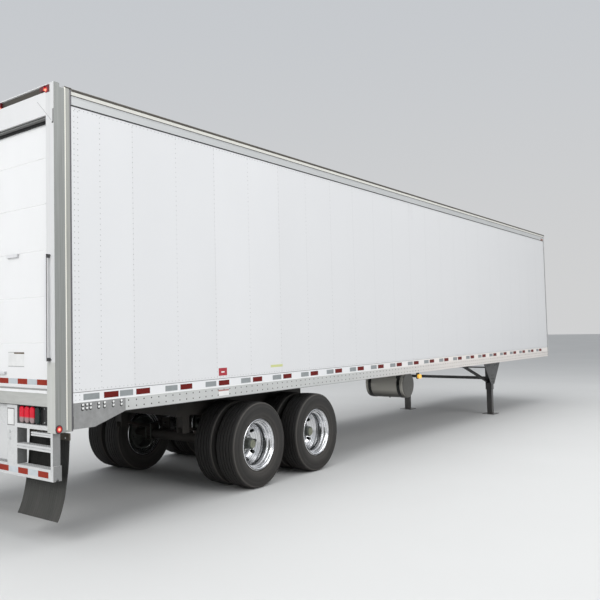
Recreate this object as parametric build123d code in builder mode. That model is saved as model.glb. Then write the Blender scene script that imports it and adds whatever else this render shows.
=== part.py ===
from build123d import *
import math
import os

# Insulated van semi trailer with a roll-up rear door, a nose-mounted cooling unit
# and a twin-tyred tandem on a sliding frame. It stands parked on its landing gear.
# Millimetres. +X is forward, +Y is left, +Z is up, and the ground is z = 0.
# The origin is on the ground below the centre of the whole trailer.

os.makedirs("parts", exist_ok=True)

# Body, overall
BODY_LENGTH = 14630
BODY_WIDTH = 2591
BODY_HEIGHT = 4115
UNIT_DEPTH = 460
LAMP_PROUD = 12
GRAB_PROUD = 45

HALF = BODY_WIDTH / 2
X_REAR = -(BODY_LENGTH + UNIT_DEPTH - GRAB_PROUD) / 2
X_FRONT = X_REAR + BODY_LENGTH

# Walls, roof and floor
WALL_THICK = 64
FRONT_WALL_THICK = 100
SKIN_INSET = 4
WALL_OUT = HALF - SKIN_INSET
WALL_IN = WALL_OUT - WALL_THICK
FLOOR_TOP = 1358
FLOOR_THICK = 137
FLOOR_BOTTOM = FLOOR_TOP - FLOOR_THICK

# Side rails along the bottom, and top rails
RAIL_BOTTOM = 1114
RAIL_HEIGHT = 215
RAIL_TOP = RAIL_BOTTOM + RAIL_HEIGHT
RAIL_WEB = 12
RAIL_FLANGE = 8
RAIL_FLANGE_WIDTH = 66
RAIL_LIP_RISE = 126
RAIL_LIP_Z = RAIL_BOTTOM + RAIL_LIP_RISE
RAIL_LIP = 8
RAIL_INSET = 3
RAIL_FACE = HALF - RAIL_INSET
TOP_RAIL_DROP = 15
TOP_RAIL_HEIGHT = 165
TOP_RAIL_INSET = 1
TOP_RAIL_BEVEL = 10
TOP_RAIL_TOP = BODY_HEIGHT - TOP_RAIL_DROP
TOP_RAIL_BOTTOM = TOP_RAIL_TOP - TOP_RAIL_HEIGHT
TOP_RAIL_OUT = HALF - TOP_RAIL_INSET
TOP_RAIL_GROOVE_DROP = 78
TOP_RAIL_GROOVE = 8
ROOF_THICK = 60
ROOF_EDGE = 3
CORNER_DEPTH = 100
CORNER_RADIUS = 55

# Rear frame
POST_DEPTH = 197
POST_SIDE_DEPTH = 173
POST_SEAM_X = 118
POST_STEP = 3
POST_SEAL_INSET = 9
POST_FACE_WIDTH = 117
POST_FACE_THICK = 45
POST_BOTTOM = 989
POST_IN = HALF - POST_FACE_WIDTH
CREST_DEPTH = 64
POST_NOTCH_DROP = 36
HEADER_HEIGHT = 283
HEADER_BOTTOM = BODY_HEIGHT - HEADER_HEIGHT
HEADER_EDGE = 8
HEADER_STRIP_HEIGHT = 62
HEADER_STRIP_DEPTH = 14
SILL_BOTTOM = 1211
SILL_LIP = 26
SILL_LIP_PROUD = 6
GUSSET_LENGTH = 615
GUSSET_FLAT = 240
GUSSET_BOTTOM = 1003
GUSSET_THICK = 16

# Roll-up door and its seals
DOOR_THICK = 42
DOOR_SEAT_GAP = 0.3
DOOR_SIDE_GAP = 4
DOOR_TOP_GAP = 20
DOOR_PANEL_HEIGHT = 420
DOOR_GROOVE = 5
HEAD_SEAL_HEIGHT = 63
HEAD_SEAL_PROUD = 22
HEAD_SEAL_RIBS = 3
SIDE_SEAL_WIDTH = 14
SIDE_SEAL_PROUD = 16

# Rear guard, steps and mud flaps
GUARD_SIDE_INSET = 45
GUARD_HALF = HALF - GUARD_SIDE_INSET
GUARD_INSET = 3
GUARD_BOTTOM = 566
GUARD_HEIGHT = 103
GUARD_DEPTH = 90
GUARD_WALL = 6
GUARD_CAP = 6
GUARD_CAP_HEIGHT = 134
GUARD_NOTCH_RADIUS = 18
STRUT_IN = 542
STRUT_WIDTH = 161
STRUT_DEPTH = 105
STRUT_INSET = 8
APRON_INSET = 34
APRON_THICK = 8
APRON_HEIGHT = 190
LADDER_WIDTH = 31
LADDER_DEPTH = 80
STEP_DEPTH = 74
STEP_GROOVE = 7
LOW_STEP_Z = 817
LOW_STEP_HEIGHT = 45
HIGH_STEP_Z = 947
HIGH_STEP_HEIGHT = 34
HIGH_STEP_IN = 922
SHELF_Z = 1006
SHELF_HEIGHT = 38
SHELF_DEPTH = 95
SHELF_WALL = 6
FLAP_WIDTH = 600
FLAP_THICK = 10
FLAP_BAR_HEIGHT = 62
FLAP_HANGER_WIDTH = 62
FLAP_HANGER_THICK = 8

# Lamps
LAMP_COUNT = 4
LAMP_PITCH = 81
LAMP_START_GAP = 21
LAMP_WIDE = 68
LAMP_HIGH = 152
LAMP_LENS_PROUD = 30
LAMP_BOX_INSET = 44
LAMP_BOX_DEPTH = 70
MARKER_LONG = 68
MARKER_HIGH = 42
MARKER_THICK = 5
MARKER_END_GAP = 4
SIDE_LAMP_RADIUS = 32
MIDDLE_LAMP_LONG = 110
MIDDLE_LAMP_HIGH = 70

# Sliding rails and the tandem
REAR_AXLE_SETBACK = 2923
AXLE_SPREAD = 1245
REAR_AXLE_X = X_REAR + REAR_AXLE_SETBACK
AXLES_X = (REAR_AXLE_X, REAR_AXLE_X + AXLE_SPREAD)
SLIDER_RAIL_LENGTH = 5150
SLIDER_RAIL_Y = 500
SLIDER_RAIL_WIDTH = 96
SLIDER_RAIL_BOTTOM = 1014
SLIDER_WALL = 8
SLIDE_GAP = 5
PIN_HOLE_PITCH = 152.4
PIN_HOLE_RADIUS = 21
BOGIE_BACK = 700
BOGIE_AHEAD = 640
BOGIE_RAIL_HEIGHT = 150

# Axles, wheels and tyres
TYRE_RADIUS = 507
TYRE_WIDTH = 290
TREAD_WIDTH = 226
RIM_RADIUS = 302
RIM_WIDTH = 235
RIM_FLANGE = 10
BEAD_RADIUS = 285
BEAD_GAP = 0.3
BEAD_SEAT = 40
TRACK_HALF = 984
DUAL_SPACING = 343
DISC_THICK = 22
DISC_BORE = 110
BOLT_CIRCLE = 285.75
HAND_HOLE_COUNT = 10
HAND_HOLE_RADIUS = 24
HAND_HOLE_CIRCLE = 213
AXLE_RADIUS = 63.5
SPINDLE_RADIUS = 45
SPINDLE_CLEARANCE = 0.08
HUB_OUT = 1178
HUB_BORE_DEPTH = 50
CAP_RADIUS = 64
CAP_SHOULDER = 30
CAP_CHAMFER = 18
DRUM_RADIUS = 222
DRUM_WALL = 18
DRUM_IN = 715
DRUM_OUT = 895

# Landing gear
LEG_SETBACK = 11450
LEG_X = X_REAR + LEG_SETBACK
LEG_Y = 950
LEG_WIDTH = 127
LEG_BOTTOM = 520
LEG_INNER_WIDTH = 104
LEG_CLEARANCE = 0.5
WING_TOP_HALF = 470
WING_LOW_HALF = 90
WING_RISE = 110
WING_THICK = 8
BRACE_SIZE = 45
BRACE_REACH = 900
BRACE_INSET = 250
CROSS_TUBE_SIZE = 60
CROSS_TUBE_RISE = 240
SHAFT_RADIUS = 14
SHAFT_DROP = 137
GEARBOX_LENGTH = 140
GEARBOX_WIDTH = 62
GEARBOX_HEIGHT = 200
CRANK_ARM = 230
CRANK_ROD_RADIUS = 11
CRANK_REACH = 70
CRANK_RISE = 55
GRIP_LENGTH = 110
FOOT_LENGTH = 300
FOOT_WIDTH = 255
FOOT_THICK = 12

# Coupler
KINGPIN_SETBACK = 914
KINGPIN_X = X_FRONT - KINGPIN_SETBACK
COUPLER_Z = 1190
COUPLER_THICK = 10
COUPLER_LENGTH = 1500
COUPLER_HALF = 610
COUPLER_RIB = 10
COUPLER_RIB_SPREAD = 200
BOLSTER_LENGTH = 60
KINGPIN_HEAD_RADIUS = 35.7
KINGPIN_NECK_RADIUS = 25.4
KINGPIN_COLLAR = 36.5
KINGPIN_NECK = 35
KINGPIN_HEAD = 12.7

# Fuel tank of the cooling unit
TANK_SETBACK = 7790
TANK_X = X_REAR + TANK_SETBACK
TANK_Y = (-850, -120)
TANK_RADIUS = 229
TANK_Z = 866
TANK_EDGE = 28
STRAP_INSET = 90
STRAP_WIDTH = 56
STRAP_THICK = 5

# Cooling unit on the front wall
UNIT_HALF = 960
UNIT_DROP = 135
UNIT_HEIGHT = 2110
UNIT_LOWER_HEIGHT = 910
UNIT_TOP = BODY_HEIGHT - UNIT_DROP
UNIT_BOTTOM = UNIT_TOP - UNIT_HEIGHT
UNIT_SPLIT = UNIT_BOTTOM + UNIT_LOWER_HEIGHT
UNIT_WALL = 25
UNIT_CORNER = 60


def block(x, y, z, mode=Mode.ADD):
    """Box whose corners are given as low and high along each axis."""
    middle = tuple((low + high) / 2 for low, high in (x, y, z))
    with Locations(middle):
        Box(x[1] - x[0], y[1] - y[0], z[1] - z[0], mode=mode)


def span(side, inner, outer):
    """Low and high of a stretch across the trailer, on the left (1) or the right (-1)."""
    return tuple(sorted((side * inner, side * outer)))


def bar_x(outline, x_low, x_high, mode=Mode.ADD):
    """Bar along X whose section is an outline of (y, z) points."""
    with BuildSketch(Plane.YZ.offset(x_low)) as section:
        with BuildLine():
            Polyline(*outline, close=True)
        make_face()
    extrude(to_extrude=section.sketch, amount=x_high - x_low, mode=mode)


def bar_y(outline, y_low, y_high, mode=Mode.ADD):
    """Bar across the trailer whose section is an outline of (x, z) points."""
    with BuildSketch(Plane.XZ.offset(-y_high)) as section:
        with BuildLine():
            Polyline(*outline, close=True)
        make_face()
    extrude(to_extrude=section.sketch, amount=y_high - y_low, mode=mode)


def bar_z(outline, z_low, z_high, mode=Mode.ADD):
    """Upright bar whose section is an outline of (x, y) points."""
    with BuildSketch(Plane.XY.offset(z_low)) as section:
        with BuildLine():
            Polyline(*outline, close=True)
        make_face()
    extrude(to_extrude=section.sketch, amount=z_high - z_low, mode=mode)


def rod(start, end, radius, mode=Mode.ADD):
    """Round bar from one point to another."""
    run = Vector(*end) - Vector(*start)
    with BuildSketch(Plane(origin=start, z_dir=run)) as section:
        Circle(radius)
    extrude(to_extrude=section.sketch, amount=run.length, mode=mode)


def beam(start, end, width, height, side_dir=(0, 1, 0)):
    """Square-cut bar from one point to another, its width along side_dir."""
    run = Vector(*end) - Vector(*start)
    with BuildSketch(Plane(origin=start, x_dir=side_dir, z_dir=run)) as section:
        Rectangle(width, height)
    extrude(to_extrude=section.sketch, amount=run.length)


def ring(outline, x, z, mode=Mode.ADD):
    """Solid turned about an axis across the trailer, from (radius, y) points."""
    with BuildSketch(Plane(origin=(x, 0, z), x_dir=(1, 0, 0), z_dir=(0, 0, 1))) as section:
        with BuildLine():
            Polyline(*outline, close=True)
        make_face()
    revolve(section.sketch, axis=Axis((x, 0, z), (0, 1, 0)), mode=mode)


def flip(outline, side):
    """The outline with its first coordinate on the left (1) or the right (-1)."""
    return [(side * first, second) for first, second in outline]


def save(piece, name):
    piece.part.label = name
    export_step(piece.part, f"parts/{name}.step")


# Floor: one insulated slab between the walls.
with BuildPart() as floor:
    block((X_REAR + POST_DEPTH, X_FRONT - FRONT_WALL_THICK), (-WALL_IN, WALL_IN), (FLOOR_BOTTOM, FLOOR_TOP))
save(floor, "floor")

# Crossmembers: I-beams under the floor, from the rear frame to the coupler.
BEAM_PITCH = 304.8
BEAM_FLANGE = 60
BEAM_WALL = 6
BEAM_LOW = RAIL_BOTTOM + RAIL_FLANGE
BEAM_END = RAIL_FACE - RAIL_WEB
COUPLER_BACK = X_FRONT - COUPLER_LENGTH
BEAM_FIRST = X_REAR + POST_DEPTH + BEAM_PITCH
beam_count = int((COUPLER_BACK - BEAM_FLANGE - BEAM_FIRST) // BEAM_PITCH) + 1
with BuildPart() as crossmembers:
    for number in range(beam_count):
        x = BEAM_FIRST + number * BEAM_PITCH
        bar_y(
            [
                (x - BEAM_FLANGE / 2, BEAM_LOW),
                (x + BEAM_FLANGE / 2, BEAM_LOW),
                (x + BEAM_FLANGE / 2, BEAM_LOW + BEAM_WALL),
                (x + BEAM_WALL / 2, BEAM_LOW + BEAM_WALL),
                (x + BEAM_WALL / 2, FLOOR_BOTTOM - BEAM_WALL),
                (x + BEAM_FLANGE / 2, FLOOR_BOTTOM - BEAM_WALL),
                (x + BEAM_FLANGE / 2, FLOOR_BOTTOM),
                (x - BEAM_FLANGE / 2, FLOOR_BOTTOM),
                (x - BEAM_FLANGE / 2, FLOOR_BOTTOM - BEAM_WALL),
                (x - BEAM_WALL / 2, FLOOR_BOTTOM - BEAM_WALL),
                (x - BEAM_WALL / 2, BEAM_LOW + BEAM_WALL),
                (x - BEAM_FLANGE / 2, BEAM_LOW + BEAM_WALL),
            ],
            -BEAM_END,
            BEAM_END,
        )
save(crossmembers, "crossmembers")

# Side walls: each one insulated panel from the bottom rail to the top rail.
for side, name in ((-1, "side_wall_right"), (1, "side_wall_left")):
    with BuildPart() as side_wall:
        block(
            (X_REAR + POST_DEPTH, X_FRONT - CORNER_DEPTH),
            span(side, WALL_IN, WALL_OUT),
            (RAIL_TOP, TOP_RAIL_BOTTOM),
        )
    save(side_wall, name)

# Bottom side rails: a web with a lip and a foot flange, and a deep top that carries the wall.
LIP_LOW = RAIL_LIP_Z - RAIL_LIP / 2
LIP_HIGH = RAIL_LIP_Z + RAIL_LIP / 2
side_rail_outline = [
    (RAIL_FACE - RAIL_FLANGE_WIDTH, RAIL_BOTTOM),
    (RAIL_FACE, RAIL_BOTTOM),
    (RAIL_FACE, LIP_LOW),
    (HALF, LIP_LOW),
    (HALF, LIP_HIGH),
    (WALL_OUT, LIP_HIGH),
    (WALL_OUT, RAIL_TOP),
    (WALL_IN, RAIL_TOP),
    (WALL_IN, FLOOR_BOTTOM),
    (RAIL_FACE - RAIL_WEB, FLOOR_BOTTOM),
    (RAIL_FACE - RAIL_WEB, RAIL_BOTTOM + RAIL_FLANGE),
    (RAIL_FACE - RAIL_FLANGE_WIDTH, RAIL_BOTTOM + RAIL_FLANGE),
]
with BuildPart() as side_rails:
    for side in (-1, 1):
        bar_x(flip(side_rail_outline, side), X_REAR + POST_DEPTH, X_FRONT - CORNER_DEPTH)
save(side_rails, "side_rails")

# Top rails: deep extrusions with a groove line along the outside.
GROOVE_HIGH = TOP_RAIL_TOP - TOP_RAIL_GROOVE_DROP
GROOVE_LOW = GROOVE_HIGH - TOP_RAIL_GROOVE
top_rail_outline = [
    (WALL_IN, TOP_RAIL_BOTTOM),
    (TOP_RAIL_OUT, TOP_RAIL_BOTTOM),
    (TOP_RAIL_OUT, GROOVE_LOW),
    (WALL_OUT, GROOVE_LOW),
    (WALL_OUT, GROOVE_HIGH),
    (TOP_RAIL_OUT, GROOVE_HIGH),
    (TOP_RAIL_OUT, TOP_RAIL_TOP - TOP_RAIL_BEVEL),
    (TOP_RAIL_OUT - TOP_RAIL_BEVEL, TOP_RAIL_TOP),
    (WALL_IN, TOP_RAIL_TOP),
]
with BuildPart() as top_rails:
    for side in (-1, 1):
        bar_x(flip(top_rail_outline, side), X_REAR + POST_DEPTH, X_FRONT - CORNER_DEPTH)
save(top_rails, "top_rails")

# Roof: an insulated panel between the top rails, with a low crown that drains to both sides.
roof_outline = [
    (-WALL_IN, TOP_RAIL_TOP - ROOF_THICK),
    (WALL_IN, TOP_RAIL_TOP - ROOF_THICK),
    (WALL_IN, TOP_RAIL_TOP + ROOF_EDGE),
    (0, BODY_HEIGHT),
    (-WALL_IN, TOP_RAIL_TOP + ROOF_EDGE),
]
with BuildPart() as roof:
    bar_x(roof_outline, X_REAR + POST_DEPTH, X_FRONT)
save(roof, "roof")

# Front wall between the corner posts, from the floor's underside to the roof.
with BuildPart() as front_wall:
    block(
        (X_FRONT - FRONT_WALL_THICK, X_FRONT),
        (-WALL_IN, WALL_IN),
        (FLOOR_BOTTOM, TOP_RAIL_TOP - ROOF_THICK),
    )
save(front_wall, "front_wall")

# Front corner posts, rounded outside.
CORNER_ARC = CORNER_RADIUS + WALL_OUT - TOP_RAIL_OUT + 5
with BuildPart() as corner_posts:
    for side in (-1, 1):
        with BuildSketch(Plane.XY.offset(RAIL_BOTTOM)) as corner_section:
            with BuildLine():
                Polyline(
                    (X_FRONT, side * (WALL_OUT - CORNER_RADIUS)),
                    (X_FRONT, side * WALL_IN),
                    (X_FRONT - CORNER_DEPTH, side * WALL_IN),
                    (X_FRONT - CORNER_DEPTH, side * TOP_RAIL_OUT),
                    (X_FRONT - CORNER_RADIUS, side * TOP_RAIL_OUT),
                )
                RadiusArc(
                    (X_FRONT - CORNER_RADIUS, side * TOP_RAIL_OUT),
                    (X_FRONT, side * (WALL_OUT - CORNER_RADIUS)),
                    side * CORNER_ARC,
                )
            make_face()
        extrude(to_extrude=corner_section.sketch, amount=TOP_RAIL_TOP - RAIL_BOTTOM)
save(corner_posts, "corner_posts")

# Rear corner posts: a face flange at the back, then a deep box with a stepped outside.
# Behind the crest along the rear edge the top is notched, then level with the top rail.
CREST_END = X_REAR + CREST_DEPTH
NOTCH_END = X_REAR + POST_SEAM_X
post_outline = [
    (X_REAR, POST_IN),
    (X_REAR, HALF),
    (X_REAR + POST_SEAM_X, HALF),
    (X_REAR + POST_SEAM_X, HALF - POST_STEP),
    (X_REAR + POST_SIDE_DEPTH, HALF - POST_STEP),
    (X_REAR + POST_SIDE_DEPTH, HALF - POST_SEAL_INSET),
    (X_REAR + POST_DEPTH, HALF - POST_SEAL_INSET),
    (X_REAR + POST_DEPTH, WALL_IN),
    (X_REAR + POST_FACE_THICK, WALL_IN),
    (X_REAR + POST_FACE_THICK, POST_IN),
]
with BuildPart() as rear_posts:
    for side in (-1, 1):
        bar_z([(x, side * y) for x, y in post_outline], POST_BOTTOM, BODY_HEIGHT)
        for start, end, low_top in (
            (CREST_END, NOTCH_END, BODY_HEIGHT - POST_NOTCH_DROP),
            (NOTCH_END, X_REAR + POST_DEPTH, TOP_RAIL_TOP),
        ):
            block((start, end), span(side, WALL_IN, HALF), (low_top, BODY_HEIGHT), mode=Mode.SUBTRACT)
save(rear_posts, "rear_posts")

# Rear header, with a shallow recess along its top for the lamps.
STRIP_TOP = BODY_HEIGHT - HEADER_EDGE
STRIP_BOTTOM = STRIP_TOP - HEADER_STRIP_HEIGHT
with BuildPart() as rear_header:
    block((X_REAR, X_REAR + POST_FACE_THICK), (-POST_IN, POST_IN), (HEADER_BOTTOM, BODY_HEIGHT))
    block(
        (X_REAR + POST_FACE_THICK, CREST_END),
        (-WALL_IN, WALL_IN),
        (TOP_RAIL_TOP - ROOF_THICK, BODY_HEIGHT),
    )
    block(
        (CREST_END, X_REAR + POST_DEPTH),
        (-WALL_IN, WALL_IN),
        (TOP_RAIL_TOP - ROOF_THICK, TOP_RAIL_TOP),
    )
    block(
        (X_REAR, X_REAR + HEADER_STRIP_DEPTH),
        (-POST_IN, POST_IN),
        (STRIP_BOTTOM, STRIP_TOP),
        mode=Mode.SUBTRACT,
    )
save(rear_header, "rear_header")

# Rear sill: a deep buffer face below a bright lip that meets the door.
with BuildPart() as rear_sill:
    block((X_REAR, X_REAR + POST_FACE_THICK), (-POST_IN, POST_IN), (SILL_BOTTOM, FLOOR_TOP - SILL_LIP))
    block(
        (X_REAR - SILL_LIP_PROUD, X_REAR + POST_FACE_THICK),
        (-POST_IN, POST_IN),
        (FLOOR_TOP - SILL_LIP, FLOOR_TOP),
    )
    block(
        (X_REAR + POST_FACE_THICK, X_REAR + POST_DEPTH),
        (-WALL_IN, WALL_IN),
        (SILL_BOTTOM, FLOOR_TOP),
    )
save(rear_sill, "rear_sill")

# Gusset plates that tie the foot of each rear post to the side rail.
GUSSET_X = X_REAR + POST_DEPTH
gusset_outline = [
    (GUSSET_X, GUSSET_BOTTOM),
    (GUSSET_X + GUSSET_FLAT, GUSSET_BOTTOM),
    (GUSSET_X + GUSSET_LENGTH, RAIL_BOTTOM),
    (GUSSET_X, RAIL_BOTTOM),
]
with BuildPart() as rear_gussets:
    for side in (-1, 1):
        low, high = span(side, HALF - GUSSET_THICK, HALF)
        bar_y(gusset_outline, low, high)
        block((GUSSET_X, GUSSET_X + GUSSET_LENGTH), span(side, RAIL_FACE, HALF), (RAIL_BOTTOM, LIP_LOW))
save(rear_gussets, "rear_gussets")

# Roll-up door: insulated panels with a narrow groove at each hinge line.
DOOR_BACK = X_REAR + POST_FACE_THICK + DOOR_SEAT_GAP
DOOR_TOP = TOP_RAIL_TOP - ROOF_THICK - DOOR_TOP_GAP
door_outline = [(DOOR_BACK, FLOOR_TOP + DOOR_SEAT_GAP)]
door_joint = FLOOR_TOP + DOOR_PANEL_HEIGHT
while door_joint < DOOR_TOP - DOOR_GROOVE:
    door_outline += [
        (DOOR_BACK, door_joint - DOOR_GROOVE),
        (DOOR_BACK + DOOR_GROOVE, door_joint),
        (DOOR_BACK, door_joint + DOOR_GROOVE),
    ]
    door_joint += DOOR_PANEL_HEIGHT
door_outline += [
    (DOOR_BACK, DOOR_TOP),
    (DOOR_BACK + DOOR_THICK, DOOR_TOP),
    (DOOR_BACK + DOOR_THICK, FLOOR_TOP + DOOR_SEAT_GAP),
]
with BuildPart() as roll_door:
    bar_y(door_outline, DOOR_SIDE_GAP - WALL_IN, WALL_IN - DOOR_SIDE_GAP)
save(roll_door, "roll_door")

# Door seals: a ribbed strip under the header and a plain strip down each post.
SEAL_FRONT = X_REAR + POST_FACE_THICK
SEAL_LOW = HEADER_BOTTOM - HEAD_SEAL_HEIGHT
rib_pitch = HEAD_SEAL_HEIGHT / HEAD_SEAL_RIBS
head_seal_outline = [(SEAL_FRONT, HEADER_BOTTOM), (SEAL_FRONT, SEAL_LOW)]
for number in range(HEAD_SEAL_RIBS):
    rib_low = SEAL_LOW + number * rib_pitch
    head_seal_outline += [
        (SEAL_FRONT - HEAD_SEAL_PROUD, rib_low),
        (SEAL_FRONT - HEAD_SEAL_PROUD, rib_low + rib_pitch * 0.6),
        (SEAL_FRONT - HEAD_SEAL_PROUD / 2, rib_low + rib_pitch * 0.8),
    ]
head_seal_outline.append((SEAL_FRONT - HEAD_SEAL_PROUD, HEADER_BOTTOM))
with BuildPart() as door_seals:
    bar_y(head_seal_outline, -POST_IN, POST_IN)
    for side in (-1, 1):
        block(
            (SEAL_FRONT - SIDE_SEAL_PROUD, SEAL_FRONT),
            span(side, POST_IN - SIDE_SEAL_WIDTH, POST_IN),
            (FLOOR_TOP, SEAL_LOW),
        )
save(door_seals, "door_seals")

# Handles at the rear: a grab rail on each post, a pull and a latch on the door.
GRAB_Z = (1620, 2566)
GRAB_WIDTH = 32
GRAB_SIDE_INSET = 63
GRAB_OUT = HALF - GRAB_SIDE_INSET
GRAB_THICK = 8
GRAB_FOOT = 30
PULL_WIDTH = 180
PULL_SIDE_INSET = 492
PULL_OUT = POST_IN - PULL_SIDE_INSET
PULL_Z = (2588, 2618)
PULL_PROUD = 22
LATCH_Z = 1500
LATCH_HALF = 65
LATCH_PROUD = 28
LATCH_BAR_HALF = 12
LATCH_BAR_LENGTH = 410
with BuildPart() as rear_handles:
    for side in (-1, 1):
        grab_y = span(side, GRAB_OUT - GRAB_WIDTH, GRAB_OUT)
        block((X_REAR - GRAB_PROUD, X_REAR - GRAB_PROUD + GRAB_THICK), grab_y, GRAB_Z)
        for z in (GRAB_Z[0], GRAB_Z[1] - GRAB_FOOT):
            block((X_REAR - GRAB_PROUD, X_REAR), grab_y, (z, z + GRAB_FOOT))
    block((DOOR_BACK - PULL_PROUD, DOOR_BACK), (-PULL_OUT, PULL_WIDTH - PULL_OUT), PULL_Z)
    block(
        (DOOR_BACK - LATCH_PROUD, DOOR_BACK),
        (-LATCH_HALF, LATCH_HALF),
        (LATCH_Z - LATCH_HALF, LATCH_Z + LATCH_HALF),
    )
    block(
        (DOOR_BACK - LATCH_PROUD + GRAB_THICK / 2, DOOR_BACK),
        (-LATCH_HALF - LATCH_BAR_LENGTH, -LATCH_HALF),
        (LATCH_Z - LATCH_BAR_HALF, LATCH_Z + LATCH_BAR_HALF),
    )
save(rear_handles, "rear_handles")

# Rear guard: a capped bar on two struts, an apron between the struts, a shelf under the tail
# lamps, and a ladder of two steps at each end.
GUARD_TOP = GUARD_BOTTOM + GUARD_HEIGHT
GUARD_X = X_REAR + GUARD_INSET
STRUT_X = X_REAR + STRUT_INSET
STRUT_OUT = STRUT_IN + STRUT_WIDTH
LADDER_IN = GUARD_HALF - LADDER_WIDTH
STEP_X = GUARD_X + (LADDER_DEPTH - STEP_DEPTH) / 2
with BuildPart() as rear_guard:
    block((GUARD_X, GUARD_X + GUARD_DEPTH), (-GUARD_HALF, GUARD_HALF), (GUARD_BOTTOM, GUARD_TOP))
    block(
        (GUARD_X + GUARD_WALL, GUARD_X + GUARD_DEPTH - GUARD_WALL),
        (-GUARD_HALF, GUARD_HALF),
        (GUARD_BOTTOM + GUARD_WALL, GUARD_TOP - GUARD_WALL),
        mode=Mode.SUBTRACT,
    )
    block(
        (X_REAR + APRON_INSET, X_REAR + APRON_INSET + APRON_THICK),
        (-STRUT_IN, STRUT_IN),
        (SILL_BOTTOM - APRON_HEIGHT, SILL_BOTTOM),
    )
    for side in (-1, 1):
        block((STRUT_X, STRUT_X + STRUT_DEPTH), span(side, STRUT_IN, STRUT_OUT), (GUARD_TOP, SILL_BOTTOM))
        block((GUARD_X, GUARD_X + LADDER_DEPTH), span(side, LADDER_IN, GUARD_HALF), (GUARD_TOP, POST_BOTTOM))
        block(
            (GUARD_X, GUARD_X + GUARD_DEPTH),
            span(side, GUARD_HALF, GUARD_HALF + GUARD_CAP),
            (GUARD_BOTTOM, GUARD_BOTTOM + GUARD_CAP_HEIGHT),
        )
        rod(
            (GUARD_X + GUARD_DEPTH / 2, side * GUARD_HALF, GUARD_BOTTOM),
            (GUARD_X + GUARD_DEPTH / 2, side * (GUARD_HALF + GUARD_CAP), GUARD_BOTTOM),
            GUARD_NOTCH_RADIUS,
            mode=Mode.SUBTRACT,
        )
        for z, height, inner in (
            (LOW_STEP_Z, LOW_STEP_HEIGHT, STRUT_OUT),
            (HIGH_STEP_Z, HIGH_STEP_HEIGHT, HIGH_STEP_IN),
        ):
            block((STEP_X, STEP_X + STEP_DEPTH), span(side, inner, LADDER_IN), (z, z + height))
            block(
                (STEP_X, STEP_X + STEP_GROOVE),
                span(side, inner, LADDER_IN),
                (z + height / 2 - STEP_GROOVE / 2, z + height / 2 + STEP_GROOVE / 2),
                mode=Mode.SUBTRACT,
            )
        block(
            (STRUT_X, STRUT_X + SHELF_WALL),
            span(side, STRUT_OUT, POST_IN),
            (SHELF_Z, SHELF_Z + SHELF_HEIGHT),
        )
        block(
            (STRUT_X, STRUT_X + SHELF_DEPTH),
            span(side, STRUT_OUT, POST_IN),
            (SHELF_Z + SHELF_HEIGHT - SHELF_WALL, SHELF_Z + SHELF_HEIGHT),
        )
save(rear_guard, "rear_guard")

# Mud flaps behind the wheels: rubber sheets that curve to the rear at the bottom.
# Each point is a distance from the rear face and a height.
flap_curve = [
    (177, 905),
    (170, 780),
    (160, 650),
    (143, 534),
    (117, 400),
    (86, 300),
    (44, 212),
]
FLAP_TOP = flap_curve[0][1]
FLAP_OUT = GUARD_HALF
FLAP_IN = FLAP_OUT - FLAP_WIDTH
with BuildPart() as mudflaps:
    for side in (-1, 1):
        low, high = span(side, FLAP_IN, FLAP_OUT)
        back = [(X_REAR + x, z) for x, z in flap_curve]
        front = [(x + FLAP_THICK, z) for x, z in back]
        with BuildSketch(Plane.XZ.offset(-high)) as flap_section:
            with BuildLine():
                Spline(*back)
                Line(back[-1], front[-1])
                Spline(*reversed(front))
                Line(front[0], back[0])
            make_face()
        extrude(to_extrude=flap_section.sketch, amount=high - low)
save(mudflaps, "mudflaps")

# Flap hangers: a clamp bar along the top of each flap and two straps up to the sill.
FLAP_BAR_X = X_REAR + flap_curve[0][0] + FLAP_THICK
with BuildPart() as flap_hangers:
    for side in (-1, 1):
        block(
            (FLAP_BAR_X - FLAP_THICK, FLAP_BAR_X + FLAP_HANGER_THICK),
            span(side, FLAP_IN, FLAP_OUT),
            (FLAP_TOP, FLAP_TOP + FLAP_BAR_HEIGHT),
        )
        for y in (FLAP_IN + FLAP_HANGER_WIDTH, FLAP_OUT - 2 * FLAP_HANGER_WIDTH):
            block(
                (FLAP_BAR_X - FLAP_THICK, FLAP_BAR_X - FLAP_THICK + FLAP_HANGER_THICK),
                span(side, y, y + FLAP_HANGER_WIDTH),
                (FLAP_TOP + FLAP_BAR_HEIGHT, SILL_BOTTOM),
            )
save(flap_hangers, "flap_hangers")

# Tail lamp housings below the sill, between each strut and post, and their upright oval lenses.
LAMP_BOX_X = X_REAR + LAMP_BOX_INSET
SHELF_TOP = SHELF_Z + SHELF_HEIGHT
LAMP_MIDDLE_Z = (SHELF_TOP + SILL_BOTTOM) / 2
LAMP_FIRST_Y = STRUT_OUT + LAMP_START_GAP + LAMP_WIDE / 2
with BuildPart() as lamp_housings:
    for side in (-1, 1):
        block((LAMP_BOX_X, LAMP_BOX_X + LAMP_BOX_DEPTH), span(side, STRUT_OUT, POST_IN), (SHELF_TOP, SILL_BOTTOM))
save(lamp_housings, "lamp_housings")
with BuildPart() as tail_lamps:
    for side in (-1, 1):
        for number in range(LAMP_COUNT):
            y = side * (LAMP_FIRST_Y + number * LAMP_PITCH)
            lens_plane = Plane(origin=(LAMP_BOX_X, y, LAMP_MIDDLE_Z), x_dir=(0, 0, 1), z_dir=(-1, 0, 0))
            with BuildSketch(lens_plane) as lens_section:
                SlotOverall(LAMP_HIGH, LAMP_WIDE)
            extrude(to_extrude=lens_section.sketch, amount=LAMP_LENS_PROUD)
    fillet(tail_lamps.faces().group_by(Axis.X)[0].edges(), 8)
save(tail_lamps, "tail_lamps")

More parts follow.
